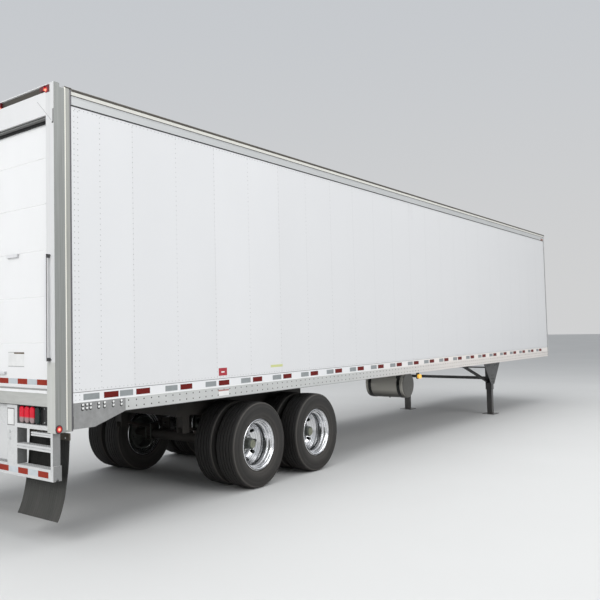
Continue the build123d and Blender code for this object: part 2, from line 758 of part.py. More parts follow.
# Marker lamps: three in the middle and one at each end of the header, one low on each rear post,
# and one high at each front corner.
HEADER_LAMP_Z = (STRIP_TOP + STRIP_BOTTOM) / 2
HEADER_LAMP_PITCH = 438
HEADER_LAMP_END = POST_IN - MARKER_LONG / 2 - MARKER_END_GAP
HEADER_LAMPS_Y = (-HEADER_LAMP_END, -HEADER_LAMP_PITCH, 0, HEADER_LAMP_PITCH, HEADER_LAMP_END)
SIDE_LAMP_X = X_REAR + SIDE_LAMP_RADIUS + 6
SIDE_LAMP_Z = POST_BOTTOM + SIDE_LAMP_RADIUS + 2
FRONT_LAMP_LENGTH = 160
FRONT_LAMP_HIGH = 40
FRONT_LAMP_X = X_FRONT - CORNER_DEPTH - FRONT_LAMP_LENGTH - 40
FRONT_LAMP_Z = TOP_RAIL_BOTTOM + 14
with BuildPart() as marker_lamps:
    for y in HEADER_LAMPS_Y:
        block(
            (X_REAR - LAMP_PROUD, X_REAR + HEADER_STRIP_DEPTH),
            (y - MARKER_LONG / 2, y + MARKER_LONG / 2),
            (HEADER_LAMP_Z - MARKER_HIGH / 2, HEADER_LAMP_Z + MARKER_HIGH / 2),
        )
    for side in (-1, 1):
        rod(
            (SIDE_LAMP_X, side * HALF, SIDE_LAMP_Z),
            (SIDE_LAMP_X, side * (HALF + MARKER_THICK), SIDE_LAMP_Z),
            SIDE_LAMP_RADIUS,
        )
        block(
            (FRONT_LAMP_X, FRONT_LAMP_X + FRONT_LAMP_LENGTH),
            span(side, TOP_RAIL_OUT, TOP_RAIL_OUT + MARKER_THICK),
            (FRONT_LAMP_Z, FRONT_LAMP_Z + FRONT_LAMP_HIGH),
        )
save(marker_lamps, "marker_lamps")

# Amber lamps half way along, each on a bracket under the side rail.
MIDDLE_LAMP_SETBACK = 7284
MIDDLE_LAMP_X = X_REAR + MIDDLE_LAMP_SETBACK
MIDDLE_LAMP_DEPTH = 42
MIDDLE_LAMP_OUT = HALF - 12
with BuildPart() as middle_lamps:
    for side in (-1, 1):
        lamp_middle = (MIDDLE_LAMP_X + MIDDLE_LAMP_LONG / 2, RAIL_BOTTOM - MIDDLE_LAMP_HIGH / 2 - 32)
        lens_plane = Plane(
            origin=(lamp_middle[0], side * (MIDDLE_LAMP_OUT - MIDDLE_LAMP_DEPTH), lamp_middle[1]),
            x_dir=(1, 0, 0),
            z_dir=(0, side, 0),
        )
        with BuildSketch(lens_plane) as lens_section:
            SlotOverall(MIDDLE_LAMP_LONG, MIDDLE_LAMP_HIGH)
        extrude(to_extrude=lens_section.sketch, amount=MIDDLE_LAMP_DEPTH)
save(middle_lamps, "middle_lamps")
LAMP_BRACKET_THICK = 4
with BuildPart() as lamp_brackets:
    for side in (-1, 1):
        bracket_out = MIDDLE_LAMP_OUT - MIDDLE_LAMP_DEPTH
        block(
            (MIDDLE_LAMP_X, MIDDLE_LAMP_X + MIDDLE_LAMP_LONG),
            span(side, bracket_out - LAMP_BRACKET_THICK, bracket_out),
            (lamp_middle[1] - MIDDLE_LAMP_HIGH / 2, RAIL_BOTTOM),
        )
save(lamp_brackets, "lamp_brackets")

# Small white plates on the side rails behind the wheels.
SIDE_PLATE_SETBACK = 2182
SIDE_PLATE_LENGTH = 172
SIDE_PLATE_HEIGHT = 66
SIDE_PLATE_RISE = 26
SIDE_PLATE_THICK = 4
with BuildPart() as side_plates:
    for side in (-1, 1):
        block(
            (X_REAR + SIDE_PLATE_SETBACK, X_REAR + SIDE_PLATE_SETBACK + SIDE_PLATE_LENGTH),
            span(side, RAIL_FACE, RAIL_FACE + SIDE_PLATE_THICK),
            (RAIL_BOTTOM + SIDE_PLATE_RISE, RAIL_BOTTOM + SIDE_PLATE_RISE + SIDE_PLATE_HEIGHT),
        )
save(side_plates, "side_plates")

# Coupler: a bottom plate with a box of stiffeners under the floor, and a front bolster.
RIB_LOW = COUPLER_Z + COUPLER_THICK
RIB_FRONT = X_FRONT - BOLSTER_LENGTH
with BuildPart() as coupler:
    block(
        (COUPLER_BACK, X_FRONT),
        (-COUPLER_HALF, COUPLER_HALF),
        (COUPLER_Z, RIB_LOW),
    )
    for x in (COUPLER_BACK, KINGPIN_X - COUPLER_RIB_SPREAD, KINGPIN_X + COUPLER_RIB_SPREAD):
        block((x, x + COUPLER_RIB), (-BEAM_END, BEAM_END), (RIB_LOW, FLOOR_BOTTOM))
    for side in (-1, 1):
        for inner in (COUPLER_RIB_SPREAD - COUPLER_RIB, COUPLER_HALF - COUPLER_RIB):
            block((COUPLER_BACK, RIB_FRONT), span(side, inner, inner + COUPLER_RIB), (RIB_LOW, FLOOR_BOTTOM))
    block((RIB_FRONT, X_FRONT), (-WALL_IN, WALL_IN), (COUPLER_Z, FLOOR_BOTTOM))
save(coupler, "coupler")

# Kingpin: a collar under the plate, a neck and a head.
with BuildPart() as kingpin:
    neck_top = COUPLER_Z - KINGPIN_COLLAR
    head_top = neck_top - KINGPIN_NECK
    rod((KINGPIN_X, 0, COUPLER_Z), (KINGPIN_X, 0, neck_top), KINGPIN_HEAD_RADIUS)
    rod((KINGPIN_X, 0, neck_top), (KINGPIN_X, 0, head_top), KINGPIN_NECK_RADIUS)
    rod((KINGPIN_X, 0, head_top), (KINGPIN_X, 0, head_top - KINGPIN_HEAD), KINGPIN_HEAD_RADIUS)
save(kingpin, "kingpin")

# Landing gear: outer leg tubes with wing plates, a cross tube, braces, and the gearbox and crank
# on the left leg.
LEG_HALF = LEG_WIDTH / 2
LEG_BORE_HALF = LEG_INNER_WIDTH / 2 + LEG_CLEARANCE
WING_Z = LEG_BOTTOM + WING_RISE
BRACE_LOW_Z = LEG_BOTTOM + 160
BRACE_FOOT_X = LEG_X - BRACE_REACH
BRACE_Y = LEG_Y - BRACE_INSET
CROSS_TUBE_Z = LEG_BOTTOM + CROSS_TUBE_RISE
SHAFT_Z = BEAM_LOW - SHAFT_DROP
GEARBOX_Y = LEG_Y + LEG_HALF + WING_THICK
GEARBOX_LOW = SHAFT_Z - GEARBOX_HEIGHT / 2
CRANK_Z = GEARBOX_LOW + CRANK_RISE
CRANK_Y = GEARBOX_Y + GEARBOX_WIDTH + CRANK_REACH
wing_outline = [
    (LEG_X - WING_TOP_HALF, BEAM_LOW),
    (LEG_X - WING_TOP_HALF, BEAM_LOW - 40),
    (LEG_X - WING_LOW_HALF, WING_Z),
    (LEG_X + WING_LOW_HALF, WING_Z),
    (LEG_X + WING_TOP_HALF, BEAM_LOW - 40),
    (LEG_X + WING_TOP_HALF, BEAM_LOW),
]
with BuildPart() as landing_gear:
    for side in (-1, 1):
        block(
            (LEG_X - LEG_HALF, LEG_X + LEG_HALF),
            span(side, LEG_Y - LEG_HALF, LEG_Y + LEG_HALF),
            (LEG_BOTTOM, BEAM_LOW),
        )
        block(
            (LEG_X - LEG_BORE_HALF, LEG_X + LEG_BORE_HALF),
            span(side, LEG_Y - LEG_BORE_HALF, LEG_Y + LEG_BORE_HALF),
            (LEG_BOTTOM, BEAM_LOW - 60),
            mode=Mode.SUBTRACT,
        )
        low, high = span(side, LEG_Y + LEG_HALF, LEG_Y + LEG_HALF + WING_THICK)
        bar_y(wing_outline, low, high)
        beam(
            (LEG_X - LEG_HALF - 8, side * LEG_Y, BRACE_LOW_Z),
            (BRACE_FOOT_X, side * BRACE_Y, BEAM_LOW - BRACE_SIZE),
            BRACE_SIZE,
            BRACE_SIZE,
        )
        block(
            (BRACE_FOOT_X - 60, BRACE_FOOT_X + 340),
            span(side, BRACE_Y - 40, BRACE_Y + 40),
            (BEAM_LOW - BRACE_SIZE - 5, BEAM_LOW),
        )
    beam(
        (LEG_X, LEG_HALF - LEG_Y, CROSS_TUBE_Z),
        (LEG_X, LEG_Y - LEG_HALF, CROSS_TUBE_Z),
        CROSS_TUBE_SIZE,
        CROSS_TUBE_SIZE,
        side_dir=(1, 0, 0),
    )
    rod((LEG_X, LEG_HALF - LEG_Y, SHAFT_Z), (LEG_X, LEG_Y - LEG_HALF, SHAFT_Z), SHAFT_RADIUS)
    block(
        (LEG_X - GEARBOX_LENGTH / 2, LEG_X + GEARBOX_LENGTH / 2),
        (GEARBOX_Y, GEARBOX_Y + GEARBOX_WIDTH),
        (GEARBOX_LOW, GEARBOX_LOW + GEARBOX_HEIGHT),
    )
    rod((LEG_X, GEARBOX_Y + GEARBOX_WIDTH, CRANK_Z), (LEG_X, CRANK_Y + SHAFT_RADIUS, CRANK_Z), SHAFT_RADIUS)
    rod((LEG_X, CRANK_Y, CRANK_Z), (LEG_X, CRANK_Y, CRANK_Z - CRANK_ARM), CRANK_ROD_RADIUS)
    rod(
        (LEG_X, CRANK_Y + SHAFT_RADIUS, CRANK_Z - CRANK_ARM),
        (LEG_X, CRANK_Y + SHAFT_RADIUS - GRIP_LENGTH, CRANK_Z - CRANK_ARM),
        SHAFT_RADIUS,
    )
save(landing_gear, "landing_gear")

# Landing feet: the inner leg tubes, wound down, and their sand shoes on the ground.
INNER_HALF = LEG_INNER_WIDTH / 2
INNER_OVERLAP = 340
with BuildPart() as landing_feet:
    for side in (-1, 1):
        block(
            (LEG_X - INNER_HALF, LEG_X + INNER_HALF),
            span(side, LEG_Y - INNER_HALF, LEG_Y + INNER_HALF),
            (FOOT_THICK, LEG_BOTTOM + INNER_OVERLAP),
        )
        block(
            (LEG_X - FOOT_LENGTH / 2, LEG_X + FOOT_LENGTH / 2),
            span(side, LEG_Y - FOOT_WIDTH / 2, LEG_Y + FOOT_WIDTH / 2),
            (0, FOOT_THICK),
        )
save(landing_feet, "landing_feet")

# Sliding rails under the crossmembers: channels with a row of pin holes.
RAIL_X = (X_REAR + POST_DEPTH, X_REAR + POST_DEPTH + SLIDER_RAIL_LENGTH)
SLIDER_OUT = SLIDER_RAIL_Y + SLIDER_RAIL_WIDTH
SLIDER_MIDDLE_Z = (SLIDER_RAIL_BOTTOM + BEAM_LOW) / 2
pin_hole_count = int(SLIDER_RAIL_LENGTH // PIN_HOLE_PITCH) - 1
with BuildPart() as slider_rails:
    for side in (-1, 1):
        outline = [
            (SLIDER_RAIL_Y, SLIDER_RAIL_BOTTOM),
            (SLIDER_OUT, SLIDER_RAIL_BOTTOM),
            (SLIDER_OUT, BEAM_LOW),
            (SLIDER_RAIL_Y, BEAM_LOW),
            (SLIDER_RAIL_Y, BEAM_LOW - SLIDER_WALL),
            (SLIDER_OUT - SLIDER_WALL, BEAM_LOW - SLIDER_WALL),
            (SLIDER_OUT - SLIDER_WALL, SLIDER_RAIL_BOTTOM + SLIDER_WALL),
            (SLIDER_RAIL_Y, SLIDER_RAIL_BOTTOM + SLIDER_WALL),
        ]
        bar_x(flip(outline, side), *RAIL_X)
    with Locations(Plane(origin=(sum(RAIL_X) / 2, 0, SLIDER_MIDDLE_Z), x_dir=(1, 0, 0), z_dir=(0, 1, 0))):
        with GridLocations(PIN_HOLE_PITCH, 0, pin_hole_count, 1):
            Cylinder(PIN_HOLE_RADIUS, 2 * SLIDER_OUT + SLIDER_WALL, mode=Mode.SUBTRACT)
save(slider_rails, "slider_rails")

# Bogie frame: two box rails with crossmembers, hold-down clips and spring hangers.
BOGIE_X = (AXLES_X[0] - BOGIE_BACK, AXLES_X[1] + BOGIE_AHEAD)
BOGIE_TOP = SLIDER_RAIL_BOTTOM - SLIDE_GAP
BOGIE_BOTTOM = BOGIE_TOP - BOGIE_RAIL_HEIGHT
HANGER_BOTTOM = 655
HANGER_REACH = 540
HANGERS_X = (AXLES_X[0] - HANGER_REACH, sum(AXLES_X) / 2, AXLES_X[1] + HANGER_REACH)
HANGER_WIDTH = 110
HANGER_PLATE = 10
SPRING_Y = 545
SPRING_WIDTH = 75
SPRING_SIDE_GAP = 4
SPRING_END_Z = 700
SPRING_END_THICK = 22
SEAT_GAP = 0.3
PAD_Z = SPRING_END_Z + SPRING_END_THICK + SEAT_GAP
PAD_THICK = 30
PAD_MIDDLE_HALF = 160
CLIP_THICK = 12
CLIP_HALF = 100
CLIP_LIP = 45
CLIP_INSET = 250
CLIPS_X = (BOGIE_X[0] + CLIP_INSET, BOGIE_X[1] - CLIP_INSET)
CLIP_TOP = SLIDER_RAIL_BOTTOM + SLIDER_WALL + SLIDE_GAP + CLIP_THICK
SLIDE_PAD_LENGTH = 180
SLIDE_PAD_INSET = 110
SLIDE_PAD_MARGIN = 8
SLIDE_PADS_X = (BOGIE_X[0] + SLIDE_PAD_INSET, sum(BOGIE_X) / 2, BOGIE_X[1] - SLIDE_PAD_INSET)
CROSSBAR_HALF = 60
SPRING_IN = SPRING_Y - SPRING_WIDTH / 2 - SPRING_SIDE_GAP
SPRING_OUT = SPRING_Y + SPRING_WIDTH / 2 + SPRING_SIDE_GAP
with BuildPart() as bogie_frame:
    for side in (-1, 1):
        block(BOGIE_X, span(side, SLIDER_RAIL_Y - CLIP_THICK, SLIDER_OUT), (BOGIE_BOTTOM, BOGIE_TOP))
        for x in SLIDE_PADS_X:
            block(
                (x - SLIDE_PAD_LENGTH / 2, x + SLIDE_PAD_LENGTH / 2),
                span(side, SLIDER_RAIL_Y + SLIDE_PAD_MARGIN, SLIDER_OUT - SLIDE_PAD_MARGIN),
                (BOGIE_TOP, SLIDER_RAIL_BOTTOM - SEAT_GAP),
            )
        for x in CLIPS_X:
            block(
                (x - CLIP_HALF, x + CLIP_HALF),
                span(side, SLIDER_RAIL_Y - CLIP_THICK - SLIDE_GAP, SLIDER_RAIL_Y - SLIDE_GAP),
                (BOGIE_BOTTOM, CLIP_TOP),
            )
            block(
                (x - CLIP_HALF, x + CLIP_HALF),
                span(side, SLIDER_RAIL_Y - SLIDE_GAP, SLIDER_RAIL_Y - SLIDE_GAP + CLIP_LIP),
                (CLIP_TOP - CLIP_THICK, CLIP_TOP),
            )
        for x in HANGERS_X:
            for inner in (SPRING_IN - HANGER_PLATE, SPRING_OUT):
                block(
                    (x - HANGER_WIDTH / 2, x + HANGER_WIDTH / 2),
                    span(side, inner, inner + HANGER_PLATE),
                    (HANGER_BOTTOM, BOGIE_BOTTOM),
                )
            post_half = HANGER_WIDTH / 2 - 5
            pad_half = PAD_MIDDLE_HALF if x == HANGERS_X[1] else post_half
            block(
                (x - post_half, x + post_half),
                span(side, SPRING_IN, SPRING_OUT),
                (PAD_Z + PAD_THICK, BOGIE_BOTTOM),
            )
            block(
                (x - pad_half, x + pad_half),
                span(side, SPRING_IN, SPRING_OUT),
                (PAD_Z, PAD_Z + PAD_THICK),
            )
    for x in (BOGIE_X[0] + CROSSBAR_HALF, HANGERS_X[1], BOGIE_X[1] - CROSSBAR_HALF):
        block(
            (x - CROSSBAR_HALF, x + CROSSBAR_HALF),
            (-SLIDER_RAIL_Y, SLIDER_RAIL_Y),
            (BOGIE_BOTTOM + 10, BOGIE_TOP - 20),
        )
save(bogie_frame, "bogie_frame")

# Axles: a tube with a spindle at each end, and the brackets of the brake chambers.
CHAMBER_RADIUS = 82
CHAMBER_Y = 400
CHAMBER_Z = 640
CHAMBER_X = 125
BRACKET_THICK = 15
SPINDLE_START = DRUM_IN - 20
SPINDLE_END = HUB_OUT - HUB_BORE_DEPTH - 10
with BuildPart() as axles:
    for x in AXLES_X:
        rod((x, -SPINDLE_START, TYRE_RADIUS), (x, SPINDLE_START, TYRE_RADIUS), AXLE_RADIUS)
        for side in (-1, 1):
            rod(
                (x, side * SPINDLE_START, TYRE_RADIUS),
                (x, side * SPINDLE_END, TYRE_RADIUS),
                SPINDLE_RADIUS,
            )
            block(
                (x + AXLE_RADIUS / 2, x + CHAMBER_X - BRACKET_THICK),
                span(side, CHAMBER_Y - BRACKET_THICK, CHAMBER_Y + BRACKET_THICK),
                (TYRE_RADIUS - 20, CHAMBER_Z - CHAMBER_RADIUS / 2),
            )
            block(
                (x + CHAMBER_X - BRACKET_THICK, x + CHAMBER_X),
                span(side, CHAMBER_Y - 70, CHAMBER_Y + 70),
                (TYRE_RADIUS, CHAMBER_Z + 70),
            )
save(axles, "axles")

# Leaf springs over the axles, with their seats.
SPRING_THICK = 48
SPRING_HALF = 520
SEAT_HALF = 70
SEAT_SIDE_HALF = 45
SEAT_TOP = TYRE_RADIUS + AXLE_RADIUS + 22
with BuildPart() as springs:
    for x in AXLES_X:
        for side in (-1, 1):
            block(
                (x - SEAT_HALF, x + SEAT_HALF),
                span(side, SPRING_Y - SEAT_SIDE_HALF, SPRING_Y + SEAT_SIDE_HALF),
                (TYRE_RADIUS + AXLE_RADIUS * 0.7, SEAT_TOP),
            )
            bore_start = (x, side * (SPRING_Y - 2 * SEAT_SIDE_HALF), TYRE_RADIUS)
            bore_end = (x, side * (SPRING_Y + 2 * SEAT_SIDE_HALF), TYRE_RADIUS)
            rod(bore_start, bore_end, AXLE_RADIUS, mode=Mode.SUBTRACT)
            leaf = [
                (x - SPRING_HALF, SPRING_END_Z),
                (x - SEAT_HALF, SEAT_TOP),
                (x + SEAT_HALF, SEAT_TOP),
                (x + SPRING_HALF, SPRING_END_Z),
                (x + SPRING_HALF, SPRING_END_Z + SPRING_END_THICK),
                (x + SEAT_HALF, SEAT_TOP + SPRING_THICK),
                (x - SEAT_HALF, SEAT_TOP + SPRING_THICK),
                (x - SPRING_HALF, SPRING_END_Z + SPRING_END_THICK),
            ]
            low, high = span(side, SPRING_Y - SPRING_WIDTH / 2, SPRING_Y + SPRING_WIDTH / 2)
            bar_y(leaf, low, high)
save(springs, "springs")

# Wheels: for each pair, two tyres, two dished discs with their rims, and the hub with its drum.
WHEEL_PLACES = (
    ("rear_right", AXLES_X[0], -1),
    ("rear_left", AXLES_X[0], 1),
    ("front_right", AXLES_X[1], -1),
    ("front_left", AXLES_X[1], 1),
)
RIM_HALF = RIM_WIDTH / 2
TYRE_HALF = TYRE_WIDTH / 2
TREAD_HALF = TREAD_WIDTH / 2
SEAT_RADIUS = BEAD_RADIUS - BEAD_GAP
tyre_half_outline = [
    (BEAD_RADIUS, RIM_HALF - 16),
    (RIM_RADIUS + 3, RIM_HALF - 12),
    (RIM_RADIUS + 50, TYRE_HALF - 4),
    (RIM_RADIUS + 100, TYRE_HALF),
    (TYRE_RADIUS - 50, TYRE_HALF - 8),
    (TYRE_RADIUS - 8, TREAD_HALF + 10),
    (TYRE_RADIUS, TREAD_HALF - 8),
]
rim_half_outline = [
    (RIM_RADIUS, RIM_HALF),
    (RIM_RADIUS, RIM_HALF - RIM_FLANGE),
    (SEAT_RADIUS, RIM_HALF - 14),
    (SEAT_RADIUS, RIM_HALF - BEAD_SEAT),
    (BEAD_RADIUS - 8, RIM_HALF - 60),
]
rim_inside_half_outline = [
    (BEAD_RADIUS - 22, RIM_HALF - 60),
    (BEAD_RADIUS - 12, RIM_HALF),
]
rim_outline = rim_half_outline + [(BEAD_RADIUS - 30, 0)]
rim_outline += [(radius, -y) for radius, y in reversed(rim_half_outline)]
rim_outline += [(radius, -y) for radius, y in reversed(rim_inside_half_outline)]
rim_outline += [(BEAD_RADIUS - 44, 0)] + rim_inside_half_outline
DISC_REACH = DUAL_SPACING / 2 - RIM_HALF
disc_outline = [
    (DISC_BORE, 0),
    (DISC_BORE, DISC_THICK),
    (185, DISC_THICK),
    (BEAD_RADIUS - 40, DISC_REACH + 24),
    (BEAD_RADIUS - 18, DISC_REACH + 60),
    (BEAD_RADIUS - 16, DISC_REACH + 6),
    (BEAD_RADIUS - 30, DISC_REACH - 4),
    (190, 0),
]
HUB_RADIUS = BOLT_CIRCLE / 2 + 26
PILOT_RADIUS = DISC_BORE - 0.5
hub_outline = [
    (SPINDLE_RADIUS + SPINDLE_CLEARANCE, TRACK_HALF - 150),
    (95, TRACK_HALF - 150),
    (95, DRUM_OUT - DRUM_WALL),
    (DRUM_RADIUS - DRUM_WALL, DRUM_OUT - DRUM_WALL),
    (DRUM_RADIUS - DRUM_WALL, DRUM_IN),
    (DRUM_RADIUS, DRUM_IN),
    (DRUM_RADIUS, DRUM_OUT),
    (HUB_RADIUS, DRUM_OUT + 6),
    (HUB_RADIUS, TRACK_HALF - DISC_THICK),
    (PILOT_RADIUS, TRACK_HALF - DISC_THICK),
    (PILOT_RADIUS, TRACK_HALF + DISC_THICK + 4),
    (CAP_RADIUS + 6, TRACK_HALF + DISC_THICK + CAP_SHOULDER),
    (CAP_RADIUS, HUB_OUT - CAP_CHAMFER),
    (CAP_RADIUS - CAP_CHAMFER, HUB_OUT),
    (0, HUB_OUT),
    (0, HUB_OUT - HUB_BORE_DEPTH),
    (SPINDLE_RADIUS + SPINDLE_CLEARANCE, HUB_OUT - HUB_BORE_DEPTH),
]
for name, x, side in WHEEL_PLACES:
    middles = (side * (TRACK_HALF - DUAL_SPACING / 2), side * (TRACK_HALF + DUAL_SPACING / 2))
    with BuildPart() as tyres:
        for middle in middles:
            outline = [(radius, middle + y) for radius, y in tyre_half_outline]
            outline += [(radius, middle - y) for radius, y in reversed(tyre_half_outline)]
            ring(outline, x, TYRE_RADIUS)
    save(tyres, f"tyres_{name}")
    with BuildPart() as wheels:
        for middle, outward in zip(middles, (-side, side)):
            ring([(radius, middle + y) for radius, y in rim_outline], x, TYRE_RADIUS)
            ring([(radius, side * TRACK_HALF + outward * y) for radius, y in disc_outline], x, TYRE_RADIUS)
        with Locations(Plane(origin=(x, side * TRACK_HALF, TYRE_RADIUS), x_dir=(1, 0, 0), z_dir=(0, 1, 0))):
            with PolarLocations(HAND_HOLE_CIRCLE, HAND_HOLE_COUNT):
                Cylinder(HAND_HOLE_RADIUS, RIM_HALF, mode=Mode.SUBTRACT)
    save(wheels, f"wheels_{name}")
    with BuildPart() as hub:
        ring([(radius, side * y) for radius, y in hub_outline], x, TYRE_RADIUS)
    save(hub, f"hub_{name}")

# Air brake chambers on the axles' brackets, and the air tank behind the middle crossmember.
CHAMBER_LENGTH = 200
AIR_TANK_RADIUS = 115
AIR_TANK_HALF = 340
AIR_TANK_X = HANGERS_X[1] - CROSSBAR_HALF - SEAT_GAP - AIR_TANK_RADIUS
AIR_TANK_Z = BOGIE_TOP - 80
with BuildPart() as air_brakes:
    for x in AXLES_X:
        for side in (-1, 1):
            rod(
                (x + CHAMBER_X, side * CHAMBER_Y, CHAMBER_Z),
                (x + CHAMBER_X + CHAMBER_LENGTH, side * CHAMBER_Y, CHAMBER_Z),
                CHAMBER_RADIUS,
            )
    rod((AIR_TANK_X, -AIR_TANK_HALF, AIR_TANK_Z), (AIR_TANK_X, AIR_TANK_HALF, AIR_TANK_Z), AIR_TANK_RADIUS)
save(air_brakes, "air_brakes")

# Fuel tank of the cooling unit, across the right side under the floor.
with BuildPart() as fuel_tank:
    rod((TANK_X, TANK_Y[0], TANK_Z), (TANK_X, TANK_Y[1], TANK_Z), TANK_RADIUS)
    fillet(fuel_tank.edges().filter_by(GeomType.CIRCLE), TANK_EDGE)
save(fuel_tank, "fuel_tank")

# Tank brackets: two straps round the tank and the hangers that carry them.
STRAP_BAR_HALF = TANK_RADIUS + 47
STRAP_BAR_HEIGHT = 22
STRAP_BAR_LOW = BEAM_LOW - STRAP_BAR_HEIGHT
with BuildPart() as tank_brackets:
    for y in (TANK_Y[0] + STRAP_INSET, TANK_Y[1] - STRAP_INSET):
        strap_y = (y - STRAP_WIDTH / 2, y + STRAP_WIDTH / 2)
        block((TANK_X - STRAP_BAR_HALF, TANK_X + STRAP_BAR_HALF), strap_y, (STRAP_BAR_LOW, BEAM_LOW))
        block((TANK_X - TANK_RADIUS, TANK_X + TANK_RADIUS), strap_y, (TANK_Z + TANK_RADIUS / 2, STRAP_BAR_LOW))
        rod((TANK_X, strap_y[0], TANK_Z), (TANK_X, strap_y[1], TANK_Z), TANK_RADIUS + STRAP_THICK)
        rod(
            (TANK_X, strap_y[0] - STRAP_WIDTH, TANK_Z),
            (TANK_X, strap_y[1] + STRAP_WIDTH, TANK_Z),
            TANK_RADIUS + SEAT_GAP,
            mode=Mode.SUBTRACT,
        )
save(tank_brackets, "tank_brackets")

# Cooling unit housing on the front wall: a shell open at the back, at its service doors and grille.
HINGE_RADIUS = 10
HINGE_PIN_RADIUS = 5
HINGE_LEAF = 4
HINGE_LEAF_WIDTH = 50
HINGE_CLEARANCE = 0.06
MOVE_GAP = 5
UNIT_FACE = X_FRONT + UNIT_DEPTH - HINGE_LEAF - 2 * HINGE_RADIUS
UNIT_DOOR_SIDE = 80
UNIT_DOOR_OUT = UNIT_HALF - UNIT_DOOR_SIDE
UNIT_DOOR_IN = 3
UNIT_DOOR_Z = (UNIT_BOTTOM + 60, UNIT_SPLIT)
HINGE_X = UNIT_FACE + HINGE_LEAF + HINGE_RADIUS
HINGE_Y = UNIT_DOOR_OUT + MOVE_GAP / 2
HINGES_Z = (UNIT_DOOR_Z[0] + 120, UNIT_DOOR_Z[1] - 200)
HINGE_HEIGHT = 80
LUG_HEIGHT = 30
LUG_GAP = 1
GRILLE_HALF = UNIT_HALF - 150
GRILLE_Z = (UNIT_SPLIT + 70, UNIT_TOP - 160)
with BuildPart() as unit_housing:
    block((X_FRONT, UNIT_FACE), (-UNIT_HALF, UNIT_HALF), (UNIT_BOTTOM, UNIT_TOP))
    fillet(unit_housing.edges().filter_by(Axis.Z).group_by(Axis.X)[-1], UNIT_CORNER)
    block(
        (X_FRONT, UNIT_FACE - UNIT_WALL),
        (UNIT_WALL - UNIT_HALF, UNIT_HALF - UNIT_WALL),
        (UNIT_BOTTOM + UNIT_WALL, UNIT_TOP - UNIT_WALL),
        mode=Mode.SUBTRACT,
    )
    block(
        (UNIT_FACE - UNIT_WALL, UNIT_FACE),
        (-UNIT_DOOR_OUT - MOVE_GAP, UNIT_DOOR_OUT + MOVE_GAP),
        (UNIT_DOOR_Z[0] - MOVE_GAP, UNIT_DOOR_Z[1] + MOVE_GAP),
        mode=Mode.SUBTRACT,
    )
    block((UNIT_FACE - UNIT_WALL, UNIT_FACE), (-GRILLE_HALF, GRILLE_HALF), GRILLE_Z, mode=Mode.SUBTRACT)
    for side in (-1, 1):
        for z in HINGES_Z:
            pin_low = z - LUG_HEIGHT
            pin_high = z + HINGE_HEIGHT + LUG_HEIGHT
            rod((HINGE_X, side * HINGE_Y, pin_low), (HINGE_X, side * HINGE_Y, pin_high), HINGE_PIN_RADIUS)
            for lug_low, lug_high in ((pin_low, z - LUG_GAP), (z + HINGE_HEIGHT + LUG_GAP, pin_high)):
                rod((HINGE_X, side * HINGE_Y, lug_low), (HINGE_X, side * HINGE_Y, lug_high), HINGE_RADIUS)
                block(
                    (UNIT_FACE, HINGE_X),
                    span(side, HINGE_Y + MOVE_GAP / 2, HINGE_Y + HINGE_RADIUS),
                    (lug_low, lug_high),
                )
save(unit_housing, "unit_housing")

# Service doors of the cooling unit, hinged at their outer edges.
HANDLE_PROUD = 12
HANDLE_IN = UNIT_DOOR_IN + 40
HANDLE_WIDTH = 30
HANDLE_Z = (UNIT_DOOR_Z[1] - 420, UNIT_DOOR_Z[1] - 300)
for side, name in ((-1, "unit_door_right"), (1, "unit_door_left")):
    with BuildPart() as unit_door:
        block((UNIT_FACE - UNIT_WALL, UNIT_FACE), span(side, UNIT_DOOR_IN, UNIT_DOOR_OUT), UNIT_DOOR_Z)
        for z in HINGES_Z:
            block(
                (UNIT_FACE, UNIT_FACE + HINGE_LEAF),
                span(side, UNIT_DOOR_OUT - HINGE_LEAF_WIDTH, UNIT_DOOR_OUT),
                (z, z + HINGE_HEIGHT),
            )
            block(
                (UNIT_FACE, HINGE_X),
                span(side, HINGE_Y - HINGE_RADIUS, HINGE_Y - MOVE_GAP / 2),
                (z, z + HINGE_HEIGHT),
            )
            rod((HINGE_X, side * HINGE_Y, z), (HINGE_X, side * HINGE_Y, z + HINGE_HEIGHT), HINGE_RADIUS)
            rod(
                (HINGE_X, side * HINGE_Y, z),
                (HINGE_X, side * HINGE_Y, z + HINGE_HEIGHT),
                HINGE_PIN_RADIUS + HINGE_CLEARANCE,
                mode=Mode.SUBTRACT,
            )
        block((UNIT_FACE, UNIT_FACE + HANDLE_PROUD), span(side, HANDLE_IN, HANDLE_IN + HANDLE_WIDTH), HANDLE_Z)
    save(unit_door, name)

